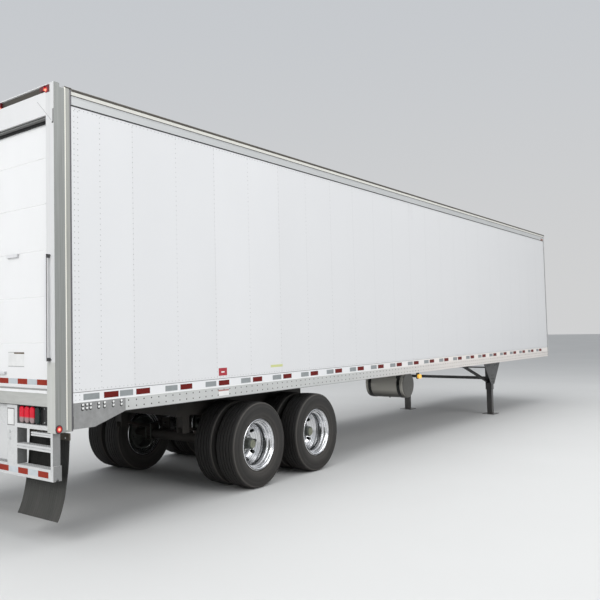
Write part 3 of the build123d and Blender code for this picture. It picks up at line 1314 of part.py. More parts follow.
# Condenser grille in the upper part of the housing: a frame with level slats.
GRILLE_FRAME = 40
GRILLE_DEPTH = 20
SLAT_HEIGHT = 12
SLAT_INSET = 2
SLAT_COUNT = 24
GRILLE_BAR_Y = 240
GRILLE_BAR_HALF = 12
GRILLE_X = (UNIT_FACE - UNIT_WALL, UNIT_FACE - UNIT_WALL + GRILLE_DEPTH)
grille_window_z = (GRILLE_Z[0] + GRILLE_FRAME, GRILLE_Z[1] - GRILLE_FRAME)
with BuildPart() as unit_grille:
    block(GRILLE_X, (-GRILLE_HALF, GRILLE_HALF), GRILLE_Z)
    block(GRILLE_X, (GRILLE_FRAME - GRILLE_HALF, GRILLE_HALF - GRILLE_FRAME), grille_window_z, mode=Mode.SUBTRACT)
    slat_pitch = (grille_window_z[1] - grille_window_z[0]) / (SLAT_COUNT + 1)
    for number in range(SLAT_COUNT):
        z = grille_window_z[0] + (number + 1) * slat_pitch
        block(
            (GRILLE_X[0] + SLAT_INSET, GRILLE_X[1] - SLAT_INSET),
            (GRILLE_FRAME - GRILLE_HALF, GRILLE_HALF - GRILLE_FRAME),
            (z - SLAT_HEIGHT / 2, z + SLAT_HEIGHT / 2),
        )
    for side in (-1, 1):
        block(
            GRILLE_X,
            span(side, GRILLE_BAR_Y - GRILLE_BAR_HALF, GRILLE_BAR_Y + GRILLE_BAR_HALF),
            grille_window_z,
        )
save(unit_grille, "unit_grille")

# Engine of the cooling unit, as one block at its place.
with BuildPart() as unit_engine:
    block((X_FRONT + 40, X_FRONT + 380), (-380, 260), (UNIT_BOTTOM + UNIT_WALL, UNIT_BOTTOM + 560))
save(unit_engine, "unit_engine")

# Air and electric couplings low on the front wall.
PLUG_PLATE_HALF = 260
PLUG_PLATE_THICK = 30
PLUG_Z = 1520
PLUG_PLATE_HEIGHT = 160
AIR_PLUG_Y = 170
AIR_PLUG_RADIUS = 32
AIR_PLUG_LENGTH = 45
SOCKET_RADIUS = 38
SOCKET_LENGTH = 65
PLUG_X = X_FRONT + PLUG_PLATE_THICK
with BuildPart() as service_plugs:
    block(
        (X_FRONT, PLUG_X),
        (-PLUG_PLATE_HALF, PLUG_PLATE_HALF),
        (PLUG_Z - PLUG_PLATE_HEIGHT / 2, PLUG_Z + PLUG_PLATE_HEIGHT / 2),
    )
    for y in (-AIR_PLUG_Y, AIR_PLUG_Y):
        rod((PLUG_X, y, PLUG_Z), (PLUG_X + AIR_PLUG_LENGTH, y, PLUG_Z), AIR_PLUG_RADIUS)
    rod((PLUG_X, 0, PLUG_Z), (PLUG_X + SOCKET_LENGTH, 0, PLUG_Z), SOCKET_RADIUS)
save(service_plugs, "service_plugs")
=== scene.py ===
"""Looks of an insulated van semi trailer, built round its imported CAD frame.

Metres, +X forward, +Y left, +Z up, with the ground at z = 0. Every place is worked out from the boxes of
the CAD nodes and from the sizes below.
"""

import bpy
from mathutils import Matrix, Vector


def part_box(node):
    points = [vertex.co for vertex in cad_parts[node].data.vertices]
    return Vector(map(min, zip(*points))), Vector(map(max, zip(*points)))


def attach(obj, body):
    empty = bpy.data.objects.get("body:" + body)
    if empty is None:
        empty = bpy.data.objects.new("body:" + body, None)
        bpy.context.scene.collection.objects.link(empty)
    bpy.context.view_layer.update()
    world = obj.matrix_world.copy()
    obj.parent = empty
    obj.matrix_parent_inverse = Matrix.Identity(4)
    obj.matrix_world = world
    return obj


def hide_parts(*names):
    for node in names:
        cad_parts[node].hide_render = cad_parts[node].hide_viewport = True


bl_info = {
    "name": "Insulated Van Semi Trailer",
    "version": (1, 0, 0),
    "blender": (4, 5, 0),
    "location": "View3D > Sidebar > Trailer",
    "description": "Finishes, wheels, lamps and fittings of an insulated van semi trailer",
    "category": "Object",
}

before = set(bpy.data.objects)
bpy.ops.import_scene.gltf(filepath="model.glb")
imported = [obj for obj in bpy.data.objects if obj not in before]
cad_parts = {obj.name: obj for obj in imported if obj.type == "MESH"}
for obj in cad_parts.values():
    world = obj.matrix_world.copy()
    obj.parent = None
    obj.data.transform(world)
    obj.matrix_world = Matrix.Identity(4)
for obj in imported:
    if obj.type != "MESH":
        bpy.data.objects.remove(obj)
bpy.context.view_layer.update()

import math

import bmesh
import bpy
import numpy as np
from bpy.props import FloatProperty, FloatVectorProperty, IntProperty, PointerProperty
from mathutils import Matrix

MM = 0.001
BOXES = {name: tuple(np.array(corner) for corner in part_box(name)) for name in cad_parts}
REAR = BOXES["rear_posts"][0][0]
HALF = BOXES["rear_posts"][1][1]
TOP = BOXES["rear_posts"][1][2]
WALL_LOW, WALL_HIGH = BOXES["side_wall_left"]
ROOF_LOW, ROOF_HIGH = BOXES["roof"]
GUARD_LOW, GUARD_HIGH = BOXES["rear_guard"]
RAIL_HIGH = BOXES["side_rails"][1]
TOP_RAIL_HIGH = BOXES["top_rails"][1]
DOOR_FACE = BOXES["roll_door"][0][0]
LAMP_BOX_FACE = BOXES["lamp_housings"][0][0]
CORNERS = ("rear_right", "rear_left", "front_right", "front_left")
SIDES = (-1, 1)
NAMED_SIDES = (("right", -1), ("left", 1))
AXLES_X = [
    (BOXES[f"tyres_{end}_left"][0][0] + BOXES[f"tyres_{end}_left"][1][0]) / 2
    for end in ("rear", "front")
]

# Skins: where the first full sheet starts, how wide a sheet is, and the two rivet rows beside the rear post.
FIRST_SHEET, SHEET_WIDTH = REAR + 0.94, 1.2274
POST_ROWS = REAR + np.array([0.225, 0.268])
# Side of a rear post, from the rear: its sealant bead, then the edges of its warm strip and its seal.
BEAD_X = (REAR + 0.117, REAR + 0.131)
WARM_EDGE, SEAL_EDGE = REAR + 0.119, REAR + 0.181
# Lamps: distances of the lit cores from the middle, their height, and the lamp's place on a post's side.
HEADER_LAMPS = (0.438, 1.182)
HEADER_LAMP_Z = TOP - 0.054
POST_LAMP = (REAR + 0.038, 1.023)
# Tail lamps: how many on each side, the first one's distance from the middle, their pitch and their height.
TAIL_LAMPS, TAIL_LAMP_FIRST, TAIL_LAMP_PITCH, TAIL_LAMP_Z = 4, 0.758, 0.081, 1.1275
# Rear face of the guard's struts.
STRUT_FACE = REAR + 0.008
# Leaf springs: distance from the middle, half of a pack's length, and how far its ends rise over its middle.
SPRING_Y, LEAF_REACH, LEAF_BOW = 0.545, 0.52, 0.0815
# Half widths of a tyre's tread, a tyre and a rim, and radii of the circles of wheel nuts and cap bolts.
TREAD_HALF, TYRE_HALF, RIM_HALF = 0.112, 0.145, 0.1175
NUT_CIRCLE, CAP_CIRCLE = 0.142875, 0.087
# Power of the curve of a wheel disc's bowl, and seats over its mounting plane: nuts, cap flange, cap bolts.
BOWL_CURVE = 1.35
NUT_SEAT, FLANGE_SEAT, CAP_BOLT_SEAT = 0.0222, 0.0330, 0.0445


# Meshes: a shape is a pair of arrays, points (n, 3) and faces (m, 4), where a triangle's fourth index is -1.


def grid_faces(rows, columns, wrap_rows=False, wrap_columns=False):
    """One quad for each cell of a grid of points; a wrapped direction joins its last line to its first."""
    row, column = np.meshgrid(
        np.arange(rows if wrap_rows else rows - 1),
        np.arange(columns if wrap_columns else columns - 1),
        indexing="ij",
    )
    below, beside = (row + 1) % rows, (column + 1) % columns
    corners = (
        row * columns + column, row * columns + beside, below * columns + beside, below * columns + column,
    )
    return np.stack(corners, -1).reshape(-1, 4)


def join(*shapes):
    """Several shapes as one: the points in a row, and each face's indices moved on by the points before
    it."""
    starts = np.cumsum([0] + [len(points) for points, _ in shapes[:-1]])
    faces = [np.where(faces < 0, -1, faces + start) for (_, faces), start in zip(shapes, starts)]
    return np.concatenate([points for points, _ in shapes]), np.concatenate(faces)


def weld(shape, grain=1e-5):
    """The same shape with points that lie together made one."""
    points, faces = shape
    _, first, same = np.unique(np.round(points / grain), axis=0, return_index=True, return_inverse=True)
    return points[first], np.where(faces < 0, -1, same.reshape(-1)[faces])


def facing(axis):
    """Rows that turn a shape's z axis to the given axis; its x axis stays level where it can."""
    axis = np.array(axis, float) / np.linalg.norm(axis)
    side = np.cross((0, 0, 1) if abs(axis[2]) < 0.9 else (0, 1, 0), axis)
    side /= np.linalg.norm(side)
    return np.stack([side, np.cross(axis, side), axis])


def stamp(shape, places, axis=(0, 0, 1)):
    """A copy of the shape at every place, its z axis turned to the given axis."""
    points, faces = shape
    places = np.asarray(places, float).reshape(-1, 1, 3)
    offsets = np.arange(len(places)).reshape(-1, 1, 1) * len(points)
    copies = np.where(faces[None] < 0, -1, faces[None] + offsets)
    return (places + points @ facing(axis)).reshape(-1, 3), copies.reshape(-1, 4)


def lathe(profile, sides, turn=0.0):
    """A profile of (radius, height) points carried round the z axis; a zero radius at an end is one closed
    point."""
    profile = np.asarray(profile, float)
    opens, closes = profile[0, 0] == 0, profile[-1, 0] == 0
    body = profile[int(opens) : len(profile) - int(closes)]
    angle = turn + np.arange(sides) * 2 * np.pi / sides
    points = np.stack(
        [body[:, :1] * np.cos(angle), body[:, :1] * np.sin(angle), body[:, 1:] + 0 * angle], -1
    ).reshape(-1, 3)
    faces = grid_faces(len(body), sides, wrap_columns=True)
    here, there = np.arange(sides), (np.arange(sides) + 1) % sides
    blank = np.full(sides, -1)
    if opens:
        pole = np.full(sides, len(points))
        faces = np.concatenate([faces, np.stack([pole, there, here, blank], -1)])
        points = np.concatenate([points, [[0, 0, profile[0, 1]]]])
    if closes:
        pole = np.full(sides, len(points))
        last = (len(body) - 1) * sides
        faces = np.concatenate([faces, np.stack([here + last, there + last, pole, blank], -1)])
        points = np.concatenate([points, [[0, 0, profile[-1, 1]]]])
    return points, faces


def ring_loop(profile, sides):
    """A closed profile of (radius, height) points carried round the z axis, so the shape is a closed ring."""
    profile = np.asarray(profile, float)
    angle = np.arange(sides) * 2 * np.pi / sides
    points = np.stack(
        [profile[:, :1] * np.cos(angle), profile[:, :1] * np.sin(angle), profile[:, 1:] + 0 * angle], -1
    )
    return points.reshape(-1, 3), grid_faces(len(profile), sides, wrap_rows=True, wrap_columns=True)


def oval_ring(long, wide, profile, sides=36):
    """A closed profile of (distance outside an oval, height) points carried round the oval. The oval is two
    half circles of its width, moved apart along the y axis by its length less its width."""
    profile = np.asarray(profile, float)
    angle = (np.arange(sides) + 0.5) * 2 * np.pi / sides
    radius = wide / 2 + profile[:, :1]
    apart = np.sign(np.sin(angle)) * (long - wide) / 2
    points = np.stack(
        [radius * np.cos(angle), radius * np.sin(angle) + apart, profile[:, 1:] + 0 * angle], -1,
    )
    return points.reshape(-1, 3), grid_faces(len(profile), sides, wrap_rows=True, wrap_columns=True)


def round_bar(path, radius, flat, sides=10):
    """A round bar along a path that lies in a plane: at each point a ring stands across the mean of the two
    runs beside it, widened in the plane by the sharpness of the turn, and both ends are closed. flat is the
    plane's normal."""
    path = np.asarray(path, float)
    runs = np.diff(path, axis=0)
    runs /= np.linalg.norm(runs, axis=1, keepdims=True)
    ahead = np.concatenate([runs[:1], runs[:-1] + runs[1:], runs[-1:]])
    ahead /= np.linalg.norm(ahead, axis=1, keepdims=True)
    turn = np.sum(ahead * np.concatenate([runs, runs[-1:]]), axis=1)[:, None, None]
    flat = np.asarray(flat, float)
    inward = np.cross(ahead, flat)[:, None]
    angle = (np.arange(sides) * 2 * np.pi / sides)[None, :, None]
    rings = path[:, None] + radius * (np.cos(angle) * flat + np.sin(angle) * inward / turn)
    ends = np.stack([path[0], path[-1]])
    points = np.concatenate([rings.reshape(-1, 3), ends])
    faces = grid_faces(len(path), sides, wrap_columns=True)
    here, there = np.arange(sides), (np.arange(sides) + 1) % sides
    blank, last = np.full(sides, -1), (len(path) - 1) * sides
    caps = [np.stack([there, here, np.full(sides, len(points) - 2), blank], -1)]
    caps.append(np.stack([here + last, there + last, np.full(sides, len(points) - 1), blank], -1))
    return points, np.concatenate([faces, *caps])


def slabs(lows, highs):
    """A closed box for each pair of low and high corners."""
    lows, highs = np.atleast_2d(lows).astype(float), np.atleast_2d(highs).astype(float)
    unit = np.array([[0, 0, 0], [1, 0, 0], [1, 1, 0], [0, 1, 0], [0, 0, 1], [1, 0, 1], [1, 1, 1], [0, 1, 1]])
    sides = np.array([[0, 3, 2, 1], [4, 5, 6, 7], [0, 1, 5, 4], [1, 2, 6, 5], [2, 3, 7, 6], [3, 0, 4, 7]])
    points = lows[:, None] + (highs - lows)[:, None] * unit
    return points.reshape(-1, 3), (sides[None] + 8 * np.arange(len(lows))[:, None, None]).reshape(-1, 4)


def across(low, high, side):
    """Low and high of a stretch across the trailer on the left (1) or the right (-1), as an ordered pair."""
    return min(side * low, side * high), max(side * low, side * high)


def patch(x, y, z):
    """A pair of box corners from low and high along each axis."""
    return (x[0], y[0], z[0]), (x[1], y[1], z[1])


def slab_set(patches):
    """Closed boxes from a list of corner pairs."""
    lows, highs = zip(*patches)
    return slabs(lows, highs)


def border(y, z, width):
    """Four strips of this width round the outside of a rectangle given by low and high along y and z."""
    return [
        ((y[0] - width, y[1] + width), (z[1], z[1] + width)),
        ((y[0] - width, y[1] + width), (z[0] - width, z[0])),
        ((y[0] - width, y[0]), z),
        ((y[1], y[1] + width), z),
    ]


def lines_of(*axes):
    """Every combination of the given lists of x, y and z as rows of points."""
    return np.stack(np.meshgrid(*axes, indexing="ij"), -1).reshape(-1, 3)


def make_piece(
    name, shape, look, crease=35, body="trailer", outward=False, attributes=(), round_edges=0.0,
):
    """Puts the shape into a mesh at the origin that rides on its CAD body, smooth but for edges over the
    crease angle."""
    points, faces = shape
    mesh = bpy.data.meshes.new(name)
    mesh.from_pydata(points.tolist(), [], [face[:3] if face[3] < 0 else face for face in faces.tolist()])
    mesh.validate()
    if outward:
        turn_outward(mesh)
    mesh.shade_smooth()
    mesh.set_sharp_from_angle(angle=math.radians(crease))
    for label, values in attributes:
        stored = mesh.attributes.new(label, "FLOAT", "POINT")
        stored.data.foreach_set("value", np.asarray(values, np.float32))
    mesh.materials.append(FINISH[look])
    piece = bpy.data.objects.new(name, mesh)
    bpy.context.scene.collection.objects.link(piece)
    if round_edges:
        bevel = piece.modifiers.new("rounded_edges", "BEVEL")
        bevel.width = round_edges
        bevel.segments = 2
        bevel.limit_method = "ANGLE"
    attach(piece, body)
    return piece


def turn_outward(mesh):
    """Points every face of closed parts outwards."""
    work = bmesh.new()
    work.from_mesh(mesh)
    bmesh.ops.recalc_face_normals(work, faces=work.faces)
    work.to_mesh(mesh)
    work.free()


# Shader nodes.


def add(tree, kind, inputs=None, **settings):
    """A shader node of this kind, its inputs set to values or linked to sockets."""
    node = tree.nodes.new("ShaderNode" + kind)
    for label, value in settings.items():
        setattr(node, label, value)
    for label, value in (inputs or {}).items():
        if isinstance(value, bpy.types.NodeSocket):
            tree.links.new(value, node.inputs[label])
        else:
            node.inputs[label].default_value = value
    return node


def maths(tree, operation, *values, clamp=False):
    """The result of a Math node."""
    return add(tree, "Math", dict(enumerate(values)), operation=operation, use_clamp=clamp).outputs[0]


def object_place(tree):
    """The object coordinates, which are places in the frame because every mesh lies at the origin."""
    return add(tree, "TexCoord").outputs["Object"]


def noise(tree, place, scale, detail):
    """The value of a Noise node."""
    return add(tree, "TexNoise", {"Vector": place, "Scale": scale, "Detail": detail}).outputs[0]


def plus(tree, first, second):
    """The sum of two values."""
    return maths(tree, "ADD", first, second)


def minus(tree, first, second):
    """The first value less the second."""
    return maths(tree, "SUBTRACT", first, second)


def times(tree, first, second):
    """The product of two values."""
    return maths(tree, "MULTIPLY", first, second)


def remap(tree, value, low, high, to_low=0.0, to_high=1.0, smooth=False):
    """The value moved from one range to another and held within it."""
    inputs = {"Value": value, "From Min": low, "From Max": high, "To Min": to_low, "To Max": to_high}
    kind = "SMOOTHSTEP" if smooth else "LINEAR"
    return add(tree, "MapRange", inputs, interpolation_type=kind).outputs[0]


def mix(tree, share, first, second):
    """A colour between the first and the second."""
    return add(tree, "Mix", {0: share, 6: first, 7: second}, data_type="RGBA").outputs[2]


def rgb(colour):
    """A colour with its alpha."""
    return (*colour[:3], 1.0)


def shade(colour, factor):
    """A colour made darker or lighter."""
    return tuple(min(part * factor, 1.0) for part in colour[:3])


def group(name, inputs, outputs, build):
    """A shader node group; build gets the tree and its input sockets and gives the output sockets."""
    tree = bpy.data.node_groups.new(name, "ShaderNodeTree")
    kinds = {float: "NodeSocketFloat", tuple: "NodeSocketVector"}
    for label, value in inputs.items():
        socket = tree.interface.new_socket(label, in_out="INPUT", socket_type=kinds[type(value)])
        socket.default_value = value
    for label in outputs:
        tree.interface.new_socket(label, in_out="OUTPUT", socket_type="NodeSocketFloat")
    end = tree.nodes.new("NodeGroupOutput")
    results = build(tree, tree.nodes.new("NodeGroupInput").outputs)
    for label, result in zip(outputs, results):
        tree.links.new(result, end.inputs[label])
    return tree


def stretched(tree, given):
    """The object coordinates multiplied by the group's Stretch."""
    place = object_place(tree)
    return add(tree, "VectorMath", {0: place, 1: given["Stretch"]}, operation="MULTIPLY").outputs[0]


def build_mottle(tree, given):
    """Soft patches: two noises of one place, stretched, the second three times finer and half as strong."""
    spread = stretched(tree, given)
    coarse = noise(tree, spread, given["Scale"], 3.0)
    finer = times(tree, given["Scale"], 3.1)
    fine = noise(tree, spread, finer, 2.0)
    total = plus(tree, times(tree, coarse, 0.67), times(tree, fine, 0.33))
    return [remap(tree, total, 0.36, 0.64)]


def build_grain(tree, given):
    """Fine drawn or brushed lines: one sharp noise, squeezed across the lines."""
    return [noise(tree, stretched(tree, given), given["Scale"], 4.0)]


def build_dust(tree, given):
    """Road dust: full at the low height, none at the high one, broken up by soft patches."""
    place = object_place(tree)
    height = add(tree, "SeparateXYZ", {0: place}).outputs["Z"]
    fade = remap(tree, height, given["High"], given["Low"])
    cloud = noise(tree, place, 5.0, 5.0)
    broken = remap(tree, cloud, 0.3, 0.7, 0.45, 1.0)
    return [maths(tree, "MULTIPLY", times(tree, fade, broken), given["Amount"], clamp=True)]


def build_lines(tree, given):
    """Thin parallel lines: 1 within half a width of every pitch along the coordinate, and 0 between."""
    turns = maths(tree, "DIVIDE", minus(tree, given["Coordinate"], given["Start"]), given["Pitch"])
    away = maths(tree, "ABSOLUTE", minus(tree, maths(tree, "FRACT", plus(tree, turns, 0.5)), 0.5))
    distance = times(tree, away, given["Pitch"])
    share = maths(tree, "DIVIDE", distance, times(tree, given["Width"], 0.5))
    return [maths(tree, "SUBTRACT", 1.0, share, clamp=True)]


def build_spangle(tree, given):
    """Zinc crystals: each cell of a cell pattern has its own shade."""
    place = object_place(tree)
    cells = add(tree, "TexVoronoi", {"Vector": place, "Scale": given["Scale"], "Randomness": 0.9})
    return [add(tree, "SeparateColor", {0: cells.outputs["Color"]}).outputs[0]]


def build_band(tree, given):
    """1 where the coordinate is between the low and the high value, with soft edges."""
    rise = remap(tree, given["Coordinate"], minus(tree, given["Low"], given["Softness"]), given["Low"])
    fall = remap(
        tree, given["Coordinate"], given["High"], plus(tree, given["High"], given["Softness"]), 1.0, 0.0,
    )
    return [times(tree, rise, fall)]


# Node groups by their short names, and materials by their names.
GROUPS, FINISH = {}, {}


def make_groups():
    """The effects that several finishes share."""
    one = (1.0, 1.0, 1.0)
    GROUPS["mottle"] = group("soft_patches", {"Scale": 1.0, "Stretch": one}, ["Value"], build_mottle)
    GROUPS["grain"] = group("drawn_grain", {"Scale": 40.0, "Stretch": one}, ["Value"], build_grain)
    GROUPS["dust"] = group("road_dust", {"Low": 0.0, "High": 1.0, "Amount": 0.5}, ["Mask"], build_dust)
    lines = {"Coordinate": 0.0, "Start": 0.0, "Pitch": 1.0, "Width": 0.01}
    GROUPS["lines"] = group("spaced_lines", lines, ["Mask"], build_lines)
    GROUPS["spangle"] = group("zinc_spangle", {"Scale": 60.0}, ["Value"], build_spangle)
    band = {"Coordinate": 0.0, "Low": 0.0, "High": 1.0, "Softness": 0.002}
    GROUPS["band"] = group("painted_band", band, ["Mask"], build_band)


def effect(tree, name, **inputs):
    """The first output of one of the shared groups, placed in a material."""
    node = add(tree, "Group", node_tree=GROUPS[name])
    for label, value in inputs.items():
        socket = node.inputs[label.capitalize()]
        if isinstance(value, bpy.types.NodeSocket):
            tree.links.new(value, socket)
        else:
            socket.default_value = value
    return node.outputs[0]


def finish(
    name, colour, second, rough=(0.35, 0.5), metallic=0.0, patches=7, spread=(1, 1, 1), grain=60.0,
    drawn=(1, 1, 1), depth=0.0004, dust=None, coat=0.0, specular=0.5, extras=(),
):
    """One material: two colours mixed by soft patches, road dust from below, roughness that follows the
    patches, and a bump from the grain. The second colour can be a factor on the first. Spread stretches the
    patches and drawn the grain. Each of the extras gets the tree, the shader, the colour, the roughness and
    the height so far, and gives the last three back changed."""
    material = bpy.data.materials.new(name)
    material.use_nodes = True
    tree = material.node_tree
    shader = tree.nodes["Principled BSDF"]
    shader.inputs["Metallic"].default_value = metallic
    shader.inputs["Coat Weight"].default_value = coat
    shader.inputs["Coat Roughness"].default_value = 0.12
    shader.inputs["Specular IOR Level"].default_value = specular
    if isinstance(second, float):
        second = shade(colour, second)
    soft = effect(tree, "mottle", scale=patches, stretch=spread)
    lines = effect(tree, "grain", scale=grain, stretch=drawn)
    base = mix(tree, soft, rgb(colour), rgb(second))
    roughness = remap(tree, soft, 0.0, 1.0, *rough)
    roughness = plus(tree, roughness, times(tree, minus(tree, lines, 0.5), 0.12))
    height = lines
    if dust:
        tone, low, high, amount = dust
        mask = effect(tree, "dust", low=low, high=high, amount=amount)
        base = mix(tree, mask, base, rgb(tone))
        roughness = plus(tree, roughness, times(tree, mask, 0.35))
    for change in extras:
        base, roughness, height = change(tree, shader, base, roughness, height)
    bump = add(tree, "Bump", {"Strength": 1.0, "Distance": depth, "Height": height})
    tree.links.new(base, shader.inputs["Base Color"])
    tree.links.new(maths(tree, "MAXIMUM", roughness, 0.05), shader.inputs["Roughness"])
    tree.links.new(bump.outputs[0], shader.inputs["Normal"])
    FINISH[name] = material


def extra(change):
    """Lets a change to a material be given its settings first, and be made when the material is."""

    def ask(*settings, **named):
        """Keeps the settings until then."""
        return lambda *state: change(*state, *settings, **named)

    return ask


def coordinates(tree):
    """The x, y and z of the object coordinates."""
    return add(tree, "SeparateXYZ", {0: object_place(tree)}).outputs


def outward_way(tree):
    """The x, y and z of the surface's own direction."""
    return add(tree, "SeparateXYZ", {0: add(tree, "NewGeometry").outputs["True Normal"]}).outputs


def darken(tree, share, colour, factor):
    """The colour multiplied down where the share is full."""
    dim = mix(tree, share, (1, 1, 1, 1), (factor, factor, factor, 1))
    return add(tree, "Mix", {0: 1.0, 6: colour, 7: dim}, data_type="RGBA", blend_type="MULTIPLY").outputs[2]


@extra
def panel_laps(tree, shader, base, roughness, height, pitch, start, width, strength=0.86):
    """Adds thin dark lap lines across a sheet skin at every pitch, a slightly different tone to each sheet,
    and a faint waviness."""
    place = coordinates(tree)["X"]
    lap = effect(tree, "lines", coordinate=place, start=start, pitch=pitch, width=width)
    sheet = maths(tree, "FLOOR", maths(tree, "DIVIDE", minus(tree, place, start), pitch))
    tone = add(tree, "TexWhiteNoise", {"W": sheet}, noise_dimensions="1D").outputs["Value"]
    wave = effect(tree, "mottle", scale=1.1, stretch=(1, 1, 0.5))
    base = darken(tree, tone, base, 0.965)
    base = darken(tree, lap, base, strength)
    height = plus(tree, height, times(tree, wave, 3.0))
    return base, roughness, minus(tree, height, times(tree, lap, 2.0))


@extra
def forward_shade_and_tone(tree, shader, base, roughness, height, tone, low, high, amount):
    """Mixes in another colour from the low to the high place along the trailer."""
    share = remap(tree, coordinates(tree)["X"], low, high, 0.0, amount)
    return mix(tree, share, base, rgb(tone)), roughness, height


@extra
def band(
    tree, shader, base, roughness, height, axis, low, high, tone, amount=1.0, softness=0.001, metallic=None,
):
    """Colours the stretch from low to high along an axis, and can make it metal or paint there."""
    mask = effect(tree, "band", coordinate=coordinates(tree)[axis], low=low, high=high, softness=softness)
    mask = times(tree, mask, amount)
    if metallic is not None:
        tree.links.new(
            remap(tree, mask, 0.0, 1.0, shader.inputs["Metallic"].default_value, metallic),
            shader.inputs["Metallic"],
        )
    return mix(tree, mask, base, rgb(tone)), roughness, height


@extra
def post_paint(tree, shader, base, roughness, height, level, painted_tone, bare_tone):
    """Paints the faces that look to the rear: bare pale sheet below the level, white above it."""
    place = coordinates(tree)
    normal = outward_way(tree)
    rearward = maths(tree, "LESS_THAN", normal["X"], -0.5)
    above = remap(tree, place["Z"], level - 0.01, level + 0.01)
    pale = mix(tree, above, rgb(bare_tone), rgb(painted_tone))
    streak = effect(tree, "mottle", scale=9.0, stretch=(1, 3, 0.12))
    pale = darken(tree, streak, pale, 0.93)
    base = mix(tree, rearward, base, pale)
    tree.links.new(remap(tree, rearward, 0.0, 1.0, 0.7, 0.0), shader.inputs["Metallic"])
    return base, plus(tree, roughness, times(tree, rearward, 0.1)), height


def post_zones(tree, shader, base, roughness, height):
    """Gives the side of a rear post its zones: grey sheet, then a warmer strip beyond the bead, then a grey
    seal, all drawn with upright streaks."""
    place = coordinates(tree)["X"]
    blur = 0.001
    for edge, tone in ((WARM_EDGE, (0.45, 0.45, 0.42)), (SEAL_EDGE, (0.20, 0.195, 0.21))):
        base = mix(tree, remap(tree, place, edge - blur, edge + blur), base, rgb(tone))
    streak = effect(tree, "mottle", scale=14.0, stretch=(6, 6, 0.06))
    return darken(tree, streak, base, 0.84), roughness, height


@extra
def sideways_shade(tree, shader, base, roughness, height, factor, beyond=0.0):
    """Paints shade on the faces that look to the sides or down by darkening them. Nearer to the middle
    than the given distance this painted shade is thin."""
    normal = outward_way(tree)
    aside = remap(tree, maths(tree, "ABSOLUTE", normal["Y"]), 0.4, 0.8)
    below = remap(tree, normal["Z"], -0.4, -0.8)
    # film is the share of painted shade on each face.
    film = maths(tree, "MAXIMUM", aside, below)
    if beyond:
        outer = maths(tree, "GREATER_THAN", maths(tree, "ABSOLUTE", coordinates(tree)["Y"]), beyond)
        film = times(tree, film, remap(tree, outer, 0.0, 1.0, 0.35, 1.0))
    return darken(tree, film, base, factor), roughness, height


@extra
def zinc(tree, shader, base, roughness, height, scale, strength):
    """Adds zinc crystals to the colour and the roughness."""
    cell = effect(tree, "spangle", scale=scale)
    base = darken(tree, times(tree, cell, strength), base, 0.55)
    return base, plus(tree, roughness, times(tree, cell, 0.12)), height


@extra
def brushed(tree, shader, base, roughness, height, scale, stretch, strength):
    """Adds long brush marks to the colour, in the direction that the stretch leaves long."""
    mark = effect(tree, "grain", scale=scale, stretch=stretch)
    return darken(tree, remap(tree, mark, 0.35, 0.7, 0.0, strength), base, 0.5), roughness, height


@extra
def ribbed(tree, shader, base, roughness, height, pitch, width, axis, depth=4.0, factor=0.7):
    """Adds parallel moulded ribs along an axis."""
    rib = effect(tree, "lines", coordinate=coordinates(tree)[axis], start=0.0, pitch=pitch, width=width)
    return darken(tree, rib, base, factor), roughness, minus(tree, height, times(tree, rib, depth))


@extra
def slanted(tree, shader, base, roughness, height, pitch, width, factor):
    """Adds fine lines that climb forward at forty-five degrees along the side."""
    place = coordinates(tree)
    climb = minus(tree, place["Z"], place["X"])
    line = effect(tree, "lines", coordinate=climb, start=0.0, pitch=pitch, width=width)
    return darken(tree, line, base, factor), roughness, height


@extra
def lens(tree, shader, base, roughness, height, glow, lit_within=None):
    """Small square lens optics with an even glow. With a distance given, only the lamps nearer to the
    middle of the trailer than that are lit: they have upright flutes, and at the lower end their glow
    fades into a pale painted reflection. The others are dark."""
    place = object_place(tree)
    inputs = {"Vector": place, "Scale": 95.0, "Randomness": 0.0}
    facet = add(tree, "TexVoronoi", inputs, distance="CHEBYCHEV").outputs["Distance"]
    shader.inputs["Emission Strength"].default_value = glow
    light = darken(tree, remap(tree, facet, 0.2, 0.6), base, 0.72)
    if lit_within is not None:
        place = coordinates(tree)
        apart = maths(tree, "ABSOLUTE", place["Y"])
        dark = maths(tree, "GREATER_THAN", apart, lit_within)
        # The pale lower end of a lit lens is a painted reflection.
        reflection_end = (TAIL_LAMP_Z - 0.0335, TAIL_LAMP_Z - 0.0175)
        upper = remap(tree, place["Z"], *reflection_end)
        flute = effect(
            tree, "lines", coordinate=apart, start=TAIL_LAMP_FIRST, pitch=TAIL_LAMP_PITCH / 6, width=0.008,
        )
        light = darken(tree, flute, darken(tree, dark, light, 0.0), 0.45)
        light = darken(tree, minus(tree, 1.0, upper), light, 0.06)
        base = mix(tree, upper, (0.34, 0.25, 0.25, 1), base)
        base = mix(tree, dark, base, (0.010, 0.024, 0.022, 1))
    tree.links.new(light, shader.inputs["Emission Color"])
    return base, roughness, plus(tree, height, times(tree, facet, 6.0))


@extra
def shadowed_above(tree, shader, base, roughness, height, low, high, factor):
    """Darkens what lies above the high place and fades out down to the low one."""
    share = remap(tree, coordinates(tree)["Z"], low, high, smooth=True)
    fold = effect(tree, "mottle", scale=7.0, stretch=(1, 3.5, 0.25))
    return darken(tree, share, darken(tree, fold, base, 0.75), factor), roughness, height


def apart_from(tree, first, second):
    """How far a point lies from a centre, by its two distances from it."""
    squares = plus(tree, times(tree, first, first), times(tree, second, second))
    return maths(tree, "SQRT", squares)


